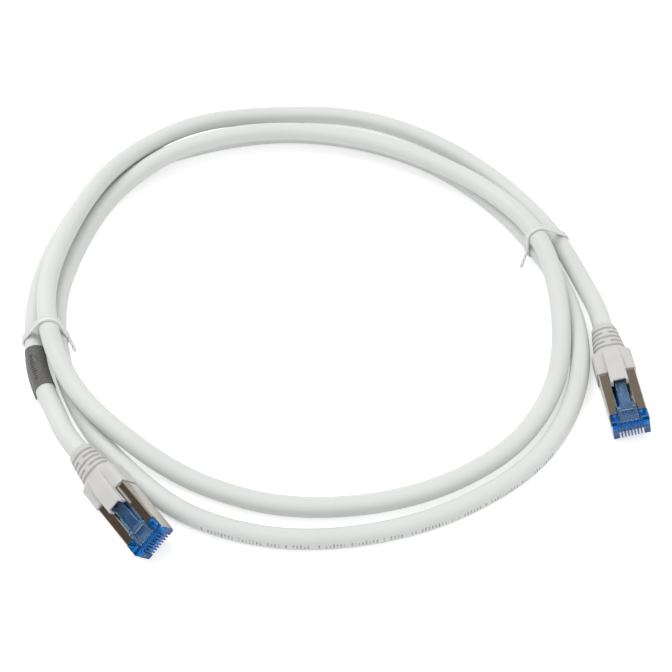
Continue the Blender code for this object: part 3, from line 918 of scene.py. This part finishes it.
        def strip(shape: Shape) -> None:
            """The closed band and its twisted end."""
            turns = [2 * math.pi * (index + 0.5) / self.tie_sides for index in range(self.tie_sides)]
            sweep(shape, [strip_frame(turn) for turn in turns], self.band_section(), closed=True)
            twisted = [frame @ Matrix.Rotation(math.radians(self.tail_twist * index), 4, "Z")
                       for index, frame in enumerate(frames_along(tail_spots()))]
            sweep(shape, twisted, self.tail_section())

        piece = Piece(node + "_strip", strip, TieFinish().material())
        thing = piece.place(Matrix.Identity(4), "cable", "tie", 30.0, False)
        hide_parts(node)
        return thing


# Plug


@dataclass
class Plug:
    """One shielded plug with its boot, and how it lies on the surface."""

    name: str
    body: str
    place_x: float
    place_y: float
    height: float
    heading: float
    roll: float

    length: float = 41.3 * MM
    boot_length: float = 20.5 * MM
    cable_end: float = 16.3 * MM
    ferrule_room_start: float = 12.2 * MM
    ferrule_room_radius: float = 4.0 * MM
    body_start: float = 18.3 * MM
    boot_pocket_start: float = 19.0 * MM
    boot_pocket_gap: float = 0.06 * MM
    shield_start: float = 19.1 * MM
    shield_end_gap: float = 0.5 * MM
    nose_start: float = 36.8 * MM
    lip_start: float = 39.7 * MM
    contact_start: float = 35.6 * MM
    contact_pitch: float = 1.02 * MM
    slot_half_width: float = 0.3 * MM
    slot_end: float = 39.4 * MM
    slot_top: float = 0.95 * MM
    slot_mouth_top: float = -1.4 * MM
    comb_depth: float = 0.9 * MM
    tray_half_width: float = 4.3 * MM
    cavity_half_width: float = 4.7 * MM
    cavity_low: float = -2.3 * MM
    cavity_high: float = 1.3 * MM
    nose_half_width: float = 5.78 * MM
    nose_half_height: float = 3.3 * MM
    lip_top: float = 1.5 * MM
    core_half_width: float = 5.55 * MM
    core_half_height: float = 3.0 * MM
    channel_half_width: float = 3.35 * MM
    channel_floor: float = 2.0 * MM
    shield_half_width: float = 6.05 * MM
    shield_half_height: float = 3.5 * MM
    shield_wall: float = 0.25 * MM
    shield_bend: float = 0.55 * MM
    window_half_width: float = 2.9 * MM
    flange_reach: float = 0.9 * MM
    flange_drop: float = 1.05 * MM
    window_step: float = 5.6 * MM
    dimple_radius: float = 0.6 * MM
    dimple_place: float = 30.5 * MM
    dimple_height: float = 0.6 * MM
    dimple_standoff: float = 0.42 * MM
    collar_radius: float = 4.0 * MM
    neck_half_width: float = 5.2 * MM
    boot_half_width: float = 6.45 * MM
    boot_half_height: float = 4.3 * MM
    first_groove: float = 2.7 * MM
    rib_pitch: float = 1.85 * MM
    rib_count: int = 5
    groove_width: float = 0.62 * MM
    groove_depth: float = 0.62 * MM
    rib_crown: float = 0.16 * MM
    shoulder_start: float = 0.7 * MM
    shoulder_end: float = 2.6 * MM
    hood_half_width: float = 2.8 * MM
    hood_wall: float = 0.8 * MM
    hood_top: float = 6.4 * MM
    hood_reach: float = 5.7 * MM
    shoulder_half_width: float = 3.05 * MM
    shoulder_length: float = 4.7 * MM
    lever_half_width: float = 1.7 * MM

    def matrix(self) -> Matrix:
        """The plug's frame on the surface."""
        place = Vector((LOOP_CENTRE.x + self.place_x, LOOP_CENTRE.y + self.place_y, self.height))
        heading = Matrix.Rotation(math.radians(self.heading), 4, "Z")
        roll = Matrix.Rotation(math.radians(self.roll), 4, "X")
        return Matrix.Translation(place) @ heading @ roll

    def contact_places(self) -> list[float]:
        """The y of each of the eight contacts."""
        return [(index - 3.5) * self.contact_pitch for index in range(8)]

    def last_groove(self) -> float:
        """The x of the boot's last groove."""
        return self.first_groove + (self.rib_count - 1) * self.rib_pitch

    def smooth(self, value: float, low: float, high: float) -> float:
        """A smooth step from 0 at low to 1 at high."""
        share = min(max((value - low) / (high - low), 0.0), 1.0)
        return share * share * (3 - 2 * share)

    def boot_radius(self, x: float, turn: float) -> float:
        """Distance of the boot's skin from the axis, with its ribs and broken grooves.

        Args:
            x: Distance from the boot's cable end.
            turn: Angle round the axis, from y towards z.

        Returns:
            The radius there.
        """
        last = self.last_groove()
        taper = min(x / last, 1.0)
        step = self.smooth(x, last + self.shoulder_start, last + self.shoulder_end)
        half_width = self.collar_radius + taper * (self.neck_half_width - self.collar_radius)
        half_width += step * (self.boot_half_width - self.neck_half_width)
        half_height = self.collar_radius + taper * (self.boot_half_height - self.collar_radius)
        power = 2.0 + 0.5 * taper + 4.0 * step
        across = abs(math.cos(turn) / half_width) ** power
        radius = (across + abs(math.sin(turn) / half_height) ** power) ** (-1 / power)
        for row in range(self.rib_count):
            distance = abs(x - self.first_groove - row * self.rib_pitch)
            if distance > self.rib_pitch:
                continue
            reach = 1 - self.smooth(distance, 0.35 * self.groove_width, 0.75 * self.groove_width)
            side, rise = abs(radius * math.cos(turn)), abs(radius * math.sin(turn))
            if row % 2:
                reach *= self.smooth(side, 0.95 * MM, 1.25 * MM)
            else:
                reach *= self.smooth(rise, 0.5 * MM, 0.8 * MM)
            radius -= self.groove_depth * reach
        ribbed = self.smooth(x, 1.2 * MM, 2.6 * MM) * (1 - self.smooth(x, last, last + MM))
        crown = math.sin(math.pi * (x - self.first_groove) / self.rib_pitch) ** 2
        radius += self.rib_crown * ribbed * crown
        end = min(x / (0.7 * MM), 1.0)
        radius -= 0.45 * MM * (1 - math.sqrt(1 - (1 - end) ** 2))
        front = min((self.boot_length - x) / (0.25 * MM), 1.0)
        radius -= 0.12 * MM * (1 - front) ** 2
        return radius

    def boot(self, finish: bpy.types.Material) -> bpy.types.Object:
        """Moulded boot: ribbed neck, shoulders, square front, and the hood over the latch's tail.

        Args:
            finish: The piece's material.

        Returns:
            The finished object.
        """
        neck_rings, front_rings = 110, 26
        last = self.last_groove()
        split = last + 1.5 * MM
        front, end = self.boot_length, self.boot_length + self.hood_reach

        def skin(shape: Shape) -> None:
            """A cylinder with many rings, shaped to the boot's radius."""
            rings = neck_rings + front_rings
            bmesh.ops.create_cone(shape, cap_ends=True, segments=96, radius1=1, radius2=1, depth=1)
            lengthwise = [edge for edge in shape.edges if abs(edge.verts[0].co.z - edge.verts[1].co.z) > 0.5]
            bmesh.ops.subdivide_edges(shape, edges=lengthwise, cuts=rings - 1, use_grid_fill=True)
            for corner in shape.verts:
                share = (corner.co.z + 0.5) * rings
                if share <= neck_rings:
                    x = split * share / neck_rings
                else:
                    x = split + (front - split) * (share - neck_rings) / front_rings
                turn = math.atan2(corner.co.y, corner.co.x)
                radius = self.boot_radius(x, turn)
                corner.co = (x, radius * math.cos(turn), radius * math.sin(turn))

        def hood(shape: Shape) -> None:
            """The raised hood with rounded upper edges."""
            rise = last + 0.9 * MM
            half, crest, top = self.hood_half_width, self.boot_half_height, self.hood_top
            add_skin(shape, [
                rectangle(rise, half - 0.2 * MM, 0, crest - 0.25 * MM),
                rectangle(rise + 1.6 * MM, half - 0.1 * MM, 0, crest + 0.45 * MM),
                rectangle(front - 3.2 * MM, half, 0, top - 0.25 * MM),
                rectangle(front, half, 0, top),
                rectangle(end, half, 0, top - 0.1 * MM),
            ])
            upper = [edge for edge in shape.edges
                     if all(corner.co.z > 4 * MM for corner in edge.verts)
                     and abs(edge.verts[0].co.y - edge.verts[1].co.y) < MM]
            bmesh.ops.bevel(shape, geom=upper, offset=0.45 * MM, segments=4, profile=0.5,
                            affect="EDGES", material=-1)

        def bore(shape: Shape) -> None:
            """Room for the cable."""
            add_rod(shape, -MM, self.cable_end, CABLE_RADIUS + 0.08 * MM)

        def ferrule_room(shape: Shape) -> None:
            """Room for the crimp ferrule."""
            add_rod(shape, self.ferrule_room_start, self.body_start, self.ferrule_room_radius)

        piece = Piece(self.name + "_boot_skin", skin, finish)
        piece.cut(hood, Cut.ADD)
        inner = self.hood_half_width - self.hood_wall
        ceiling = self.hood_top - self.hood_wall
        underside = self.shield_half_height + 0.25 * MM
        piece.cut_block((front, -4 * MM, -BEYOND), (end + MM, 4 * MM, underside))
        piece.cut_block((front - MM, -inner, underside - 0.1 * MM), (end + MM, inner, ceiling))
        piece.cut_block((end - 0.7 * MM, -inner, 4.4 * MM), (end + MM, inner, BEYOND))
        wide = self.shield_half_width + self.boot_pocket_gap
        tall = self.shield_half_height + self.boot_pocket_gap
        piece.cut_block((self.boot_pocket_start, -wide, -tall), (front + MM, wide, tall))
        for helper in (bore, ferrule_room):
            piece.cut(helper)
        thing = piece.place(self.matrix(), self.body, "boot_plastic", 38.0)
        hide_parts(self.name + "_boot")
        return thing

    def shield(self, finish: bpy.types.Material) -> bpy.types.Object:
        """Folded sheet-metal screen, with flanges into the latch's channel and dimples on its sides.

        Args:
            finish: The piece's material.

        Returns:
            The finished object.
        """
        start = self.shield_start
        end = self.length - self.shield_end_gap
        strip_end = self.nose_start - 0.25 * MM

        def half_section() -> list[Point2]:
            """The right half of the sheet's section, from its flange down to its bottom bend."""
            wide, tall, bend = self.shield_half_width, self.shield_half_height, self.shield_bend
            edge = self.window_half_width
            points = [(edge - self.flange_reach, tall - self.flange_drop),
                      (edge - 0.12 * MM, tall - 0.16 * MM),
                      (edge, tall - 0.05 * MM), (edge + 0.18 * MM, tall)]
            for centre, first in (((wide - bend, tall - bend), 90), ((wide - bend, bend - tall), 0)):
                for step in range(7):
                    turn = math.radians(first - 15 * step)
                    points.append((centre[0] + bend * math.cos(turn), centre[1] + bend * math.sin(turn)))
            return points

        def sheet(shape: Shape) -> None:
            """The folded sheet without its thickness."""
            half = half_section()
            outline = half + [(-y, z) for y, z in reversed(half)]
            line = add_loop(shape, [(start, y, z) for y, z in outline], closed=False)
            made = bmesh.ops.extrude_edge_only(shape, edges=line)["geom"]
            points = [item for item in made if isinstance(item, bmesh.types.BMVert)]
            bmesh.ops.translate(shape, vec=(end - start, 0, 0), verts=points)

        def nose_edge(shape: Shape) -> None:
            """What is taken off both corners at the nose."""
            for side in (-1, 1):
                near, far = sorted((side * 5.5 * MM, side * BEYOND))
                add_block(shape, (strip_end, near, 2.95 * MM), (end + MM, far, BEYOND))

        def dimples(shape: Shape) -> None:
            """A ball that presses into each side."""
            reach = self.shield_half_width + self.dimple_standoff
            for side in (-1, 1):
                place = Matrix.Translation((self.dimple_place, side * reach, self.dimple_height))
                bmesh.ops.create_uvsphere(shape, u_segments=24, v_segments=12, radius=self.dimple_radius,
                                          matrix=place)

        piece = Piece(self.name + "_shield_sheet", sheet, finish)
        wall = piece.thing.modifiers.new("wall", "SOLIDIFY")
        wall.thickness = self.shield_wall
        wall.offset = self.inward(piece.thing.data)
        wall.use_even_offset = True
        piece.settle()
        inner = self.shield_half_width - self.shield_wall
        contacts = 4 * self.contact_pitch
        channel = self.channel_half_width
        piece.cut_block((self.lip_start - self.window_step, -channel, 0), (strip_end + MM, channel, BEYOND))
        piece.cut_block((strip_end, -inner, -BEYOND), (end + MM, inner, BEYOND))
        piece.cut_block((self.contact_start - 0.3 * MM, -contacts, -BEYOND), (end + MM, contacts, 0))
        for helper in (nose_edge, dimples):
            piece.cut(helper)
        piece.soften(0.05 * MM, 2, 50.0)
        thing = piece.place(self.matrix(), self.body, "nickel", 30.0)
        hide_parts(self.name + "_shield")
        return thing

    def inward(self, mesh: bpy.types.Mesh) -> float:
        """The Solidify offset that grows a sheet's wall towards the axis."""
        side = max(mesh.polygons, key=lambda face: abs(face.center.y) + face.area)
        return -1.0 if side.normal.y * side.center.y > 0 else 1.0

    def housing(self, finish: bpy.types.Material) -> bpy.types.Object:
        """Clear body with the wider nose, the latch channel, and the comb of contact slots.

        Args:
            finish: The piece's material.

        Returns:
            The finished object.
        """
        past = self.length + 1.7 * MM

        def body(shape: Shape) -> None:
            """The solid body with its step up to the nose."""
            half, top = self.core_half_width, self.core_half_height
            wide, high = self.nose_half_width, self.nose_half_height
            add_skin(shape, [rectangle(self.body_start, half, -top, top),
                             rectangle(self.nose_start, half, -top, top),
                             rectangle(self.nose_start + 0.01 * MM, wide, -high, high),
                             rectangle(self.length, wide, -high, high)])

        def eight_cuts(start: float, end: float, low: float, high: float) -> Callable[[Shape], None]:
            """A builder of one box for each contact, between two lengths and two heights."""
            def boxes(shape: Shape) -> None:
                """Add the boxes."""
                half = self.slot_half_width
                for y in self.contact_places():
                    add_block(shape, (start, y - half, low), (end, y + half, high))
            return boxes

        piece = Piece(self.name + "_housing_body", body, finish)
        rear, floor = self.body_start - MM, self.channel_floor
        channel = self.channel_half_width
        outer = channel + self.shield_wall + 0.1 * MM
        tray = self.tray_half_width
        cavity, cavity_end = self.cavity_half_width, self.contact_start + 0.3 * MM
        piece.cut_block((self.lip_start, -BEYOND, self.lip_top), (past, BEYOND, BEYOND))
        piece.cut_block((self.lip_start + 0.3 * MM, -tray, self.lip_top - 0.35 * MM), (past, tray, BEYOND))
        piece.cut_block((rear, -cavity, self.cavity_low), (cavity_end, cavity, self.cavity_high))
        piece.cut_block((rear, -channel, floor), (past, channel, BEYOND))
        piece.cut_block((rear, -outer, floor), (self.nose_start, outer, BEYOND))
        piece.cut(eight_cuts(self.contact_start, self.slot_end, -BEYOND, self.slot_top))
        piece.cut(eight_cuts(self.slot_end - 0.1 * MM, past, -BEYOND, self.slot_mouth_top))
        piece.cut(eight_cuts(self.length - self.comb_depth, past, -BEYOND, BEYOND))
        piece.soften(0.08 * MM, 2)
        thing = piece.place(self.matrix(), self.body, "clear_blue", 30.0)
        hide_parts(self.name + "_housing")
        return thing

    def latch(self, finish: bpy.types.Material) -> bpy.types.Object:
        """Springy tab: rolled root, shoulders with their catches, and the lever under the hood.

        Args:
            finish: The piece's material.

        Returns:
            The finished object.
        """
        low = self.channel_floor + 0.3 * MM
        front = self.lip_start - 0.3 * MM
        catch = front - self.shoulder_length
        tail = self.boot_length + 1.5 * MM
        wide, narrow = self.shoulder_half_width, self.lever_half_width
        pocket, groove = 2.1 * MM, 0.95 * MM

        def blade(shape: Shape) -> None:
            """The tab as one skin over its sections."""
            rows = [
                (front, wide, 0.15 * MM, 0.85 * MM),
                (front - 0.3 * MM, wide, 0.0, 1.3 * MM),
                (front - 0.7 * MM, wide, 0.0, 1.5 * MM),
                (front - 1.2 * MM, wide, 0.0, 1.35 * MM),
                (front - 1.5 * MM, wide, 0.1 * MM, 1.15 * MM),
                (front - 2.6 * MM, wide, 0.4 * MM, 1.55 * MM),
                (catch + 0.15 * MM, wide, 0.95 * MM, 2.2 * MM),
                (catch, wide - 0.1 * MM, 1.0 * MM, 2.25 * MM),
                (catch - 0.15 * MM, narrow + 0.35 * MM, 1.0 * MM, 2.2 * MM),
                (catch - 0.6 * MM, narrow + 0.05 * MM, 1.05 * MM, 2.2 * MM),
                ((catch + tail) / 2, narrow, 1.5 * MM, 2.6 * MM),
                (tail, narrow - 0.05 * MM, 2.0 * MM, 3.0 * MM),
            ]
            add_skin(shape, [rectangle(x, half, low + bottom, low + top) for x, half, bottom, top in rows])

        def catches(shape: Shape) -> None:
            """The two blocks that catch in a socket."""
            for side in (-1, 1):
                near, far = sorted((side * (wide - 1.15 * MM), side * (wide - 0.05 * MM)))
                add_block(shape, (catch + 0.02 * MM, near, low + 0.45 * MM),
                          (catch + 1.1 * MM, far, low + 2.0 * MM))

        piece = Piece(self.name + "_latch_tab", blade, finish)
        piece.cut(catches, Cut.ADD)
        piece.cut_block((catch + 1.35 * MM, -pocket, low + 1.25 * MM), (front - 1.75 * MM, pocket, BEYOND))
        piece.cut_block((tail + 0.9 * MM, -groove, low + 2.55 * MM), (catch - 1.2 * MM, groove, BEYOND))
        piece.soften(0.1 * MM, 2, 25.0)
        thing = piece.place(self.matrix(), "latch_" + self.name[-1], "clear_blue", 30.0)
        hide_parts(self.name + "_latch")
        return thing

    def build(self, finishes: PlugFinishes) -> None:
        """Make the visible pieces and dress the ones inside.

        Args:
            finishes: The materials that both plugs share.
        """
        self.boot(finishes.boot)
        self.shield(finishes.shield)
        self.housing(finishes.housing)
        self.latch(finishes.latch)
        axis = self.matrix().to_3x3() @ Vector((1, 0, 0))
        pairs = {"orange": (0.85, 0.30, 0.04), "green": (0.05, 0.40, 0.10), "blue": (0.04, 0.12, 0.60),
                 "brown": (0.25, 0.11, 0.05)}
        order = (("orange", True), ("orange", False), ("green", True), ("blue", False),
                 ("blue", True), ("green", False), ("brown", True), ("brown", False))
        for number, (pair, ringed) in enumerate(order, 1):
            wire = WireFinish(f"{self.name}_insulation_{number}", pairs[pair], ringed, axis)
            dress(f"{self.name}_wire_{number}", wire.material())
            dress(f"{self.name}_contact_{number}", finishes.contact)
        dress(self.name + "_load_bar", finishes.load_bar)
        dress(self.name + "_crimp_ferrule", finishes.ferrule)


@dataclass
class PlugFinishes:
    """The materials that both plugs share."""

    boot: bpy.types.Material
    shield: bpy.types.Material
    housing: bpy.types.Material
    latch: bpy.types.Material
    contact: bpy.types.Material
    load_bar: bpy.types.Material
    ferrule: bpy.types.Material

    @classmethod
    def make(cls) -> PlugFinishes:
        """All of them at their usual settings."""
        return cls(
            boot=MouldingFinish("boot_moulding", (0.575, 0.57, 0.553)).material(),
            shield=PlateFinish("nickel_plate", (0.72, 0.69, 0.63), 0.05,
                               Vector((0.2, 1.0, 1.0))).material(),
            housing=ClearFinish("clear_blue_body", (0.02, 0.34, 0.92), (0.01, 0.24, 0.84), 0.86).material(),
            latch=ClearFinish("clear_blue_tab", (0.28, 0.50, 0.66), (0.17, 0.40, 0.58), 0.93).material(),
            contact=PlateFinish("gold_plate", (0.95, 0.70, 0.28), 0.14).material(),
            load_bar=MouldingFinish("load_bar_moulding", (0.78, 0.78, 0.76)).material(),
            ferrule=PlateFinish("ferrule_plate", (0.74, 0.72, 0.68), 0.22).material(),
        )


def dress(node: str, finish: bpy.types.Material) -> None:
    """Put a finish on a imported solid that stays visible.

    Args:
        node: The solid's name.
        finish: Its material.
    """
    for slot in bpy.data.objects[node].material_slots:
        slot.material = finish
    LOG.info("%s: dressed in %s", node, finish.name)


# Studio


@dataclass
class Studio:
    """White table, soft light and the camera."""

    target: Vector
    distance: float = 0.470
    elevation: float = 50.0
    lens: float = 75.0
    table_size: float = 2.5
    sky_strength: float = 0.62
    card_distance: float = 0.9

    def camera(self) -> None:
        """The camera, looking down at the loop from the plugs' side."""
        data = bpy.data.cameras.new("camera")
        data.lens = self.lens
        data.sensor_width = 36.0
        data.clip_start = 0.01
        camera = bpy.data.objects.new("camera", data)
        bpy.context.collection.objects.link(camera)
        rise = math.radians(self.elevation)
        camera.location = self.target + self.distance * Vector((0, -math.cos(rise), math.sin(rise)))
        camera.rotation_euler = (self.target - camera.location).to_track_quat("-Z", "Y").to_euler()
        bpy.context.scene.camera = camera
        bpy.context.scene.view_settings.view_transform = "Standard"

    def floor(self) -> None:
        """A white table that keeps a soft shadow."""
        shape = bmesh.new()
        bmesh.ops.create_grid(shape, x_segments=1, y_segments=1, size=self.table_size)
        mesh = bpy.data.meshes.new("table")
        shape.to_mesh(mesh)
        shape.free()
        table = bpy.data.objects.new("table", mesh)
        bpy.context.collection.objects.link(table)
        graph = Graph("table_white")
        rays = graph.tree.nodes.new("ShaderNodeLightPath").outputs
        seen = graph.math("MAXIMUM", Channel(graph, rays["Is Camera Ray"]),
                          Channel(graph, rays["Is Transmission Ray"]))
        graph.finish(Base_Color=(0.79, 0.79, 0.79), Roughness=0.9, Specular_IOR_Level=0.0,
                     Emission_Color=(1.0, 1.0, 1.0), Emission_Strength=0.18 + seen * 0.30)
        mesh.materials.append(graph.material)

    def sky(self) -> None:
        """Even soft light that shows as white."""
        world = bpy.data.worlds.new("tent")
        bpy.context.scene.world = world
        world.use_nodes = True
        nodes, links = world.node_tree.nodes, world.node_tree.links
        background = nodes["Background"]
        rays = nodes.new("ShaderNodeLightPath").outputs
        seen = rays["Is Camera Ray"]
        for kind in ("Is Glossy Ray", "Is Transmission Ray"):
            either = nodes.new("ShaderNodeMath")
            either.operation = "MAXIMUM"
            links.new(seen, either.inputs[0])
            links.new(rays[kind], either.inputs[1])
            seen = either.outputs[0]
        strength = nodes.new("ShaderNodeMapRange")
        strength.inputs["To Min"].default_value = self.sky_strength
        strength.inputs["To Max"].default_value = 1.0
        links.new(seen, strength.inputs["Value"])
        links.new(strength.outputs["Result"], background.inputs["Strength"])
        background.inputs["Color"].default_value = (1.0, 1.0, 1.0, 1.0)

    def lamp(self, name: str, place: Vector, size: float, power: float) -> None:
        """A square soft box aimed at the loop.

        Args:
            name: The lamp's name.
            place: Where it hangs, from the loop's middle.
            size: Its side.
            power: Its power in watts.
        """
        data = bpy.data.lights.new(name, "AREA")
        data.shape = "SQUARE"
        data.size = size
        data.energy = power
        lamp = bpy.data.objects.new(name, data)
        bpy.context.collection.objects.link(lamp)
        lamp.location = self.target + place
        lamp.rotation_euler = (-place).to_track_quat("-Z", "Y").to_euler()
        lamp.visible_glossy = False

    def card(self, name: str, way: Vector, wide: float, tall: float, colour: Colour) -> None:
        """A dark glowing card above the loop that only mirror-like surfaces show; it paints a brown
        reflection onto the metal.

        Args:
            name: The card's name.
            way: Direction from the loop.
            wide: Half of its width.
            tall: Half of its height.
            colour: The painted reflection's colour that the metal shows.
        """
        shape = bmesh.new()
        bmesh.ops.create_grid(shape, x_segments=1, y_segments=1, size=1.0)
        mesh = bpy.data.meshes.new(name)
        turn = way.to_track_quat("Z", "Y").to_matrix().to_4x4()
        place = Matrix.Translation(self.target + way.normalized() * self.card_distance)
        matrix = place @ turn @ Matrix.Diagonal((wide, tall, 1, 1))
        bmesh.ops.transform(shape, matrix=matrix, verts=shape.verts)
        shape.to_mesh(mesh)
        shape.free()
        card = bpy.data.objects.new(name, mesh)
        bpy.context.collection.objects.link(card)
        # Glowing colour that paints a brown reflection onto the metal; the card is no lamp
        graph = Graph(name + "_brown")
        graph.finish(Base_Color=(0.0, 0.0, 0.0), Roughness=1.0, Specular_IOR_Level=0.0,
                     Emission_Color=colour, Emission_Strength=1.0)
        mesh.materials.append(graph.material)
        card.visible_camera = False
        card.visible_diffuse = False
        card.visible_shadow = False
        card.visible_transmission = False
        card.visible_volume_scatter = False

    def build(self) -> None:
        """Set everything up."""
        self.camera()
        self.floor()
        self.sky()
        self.lamp("key", Vector((-0.45, 0.35, 0.95)), 0.7, 7.0)
        self.lamp("fill", Vector((0.6, -0.5, 0.9)), 0.9, 3.0)
        # Cards that only the metal sees; they paint brown reflections onto its upper and left-facing faces
        self.card("card_back", Vector((0.0, 0.62, 0.72)), 0.55, 0.36, (0.235, 0.205, 0.168))
        self.card("card_left", Vector((-0.93, 0.02, 0.50)), 0.42, 0.30, (0.098, 0.076, 0.060))


def main() -> None:
    """Build the cable and its studio, piece by piece."""
    logging.basicConfig(level=logging.INFO, format="%(name)s: %(message)s")
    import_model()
    Studio(Vector((LOOP_CENTRE.x + 5 * MM, LOOP_CENTRE.y - 8 * MM, 0.0))).build()
    plug_a = Plug("plug_a", "cable", -73.6 * MM, -60.5 * MM, 6.52 * MM, -51.7, 35.0)
    plug_b = Plug("plug_b", "cable", 93.75 * MM, -9.6 * MM, 5.2 * MM, -84.5, 13.0)
    run = CableRun(Route().points(plug_a, plug_b))
    carried = [run.marker(), run.tie("tie_left", 188.0, 172.0, 68.0),
               run.tie("tie_right", 21.0, 190.0, -45.0)]
    run.jacket(plug_a.matrix().translation, carried)
    finishes = PlugFinishes.make()
    for plug in (plug_a, plug_b):
        plug.build(finishes)


if __name__ == "__main__":
    main()
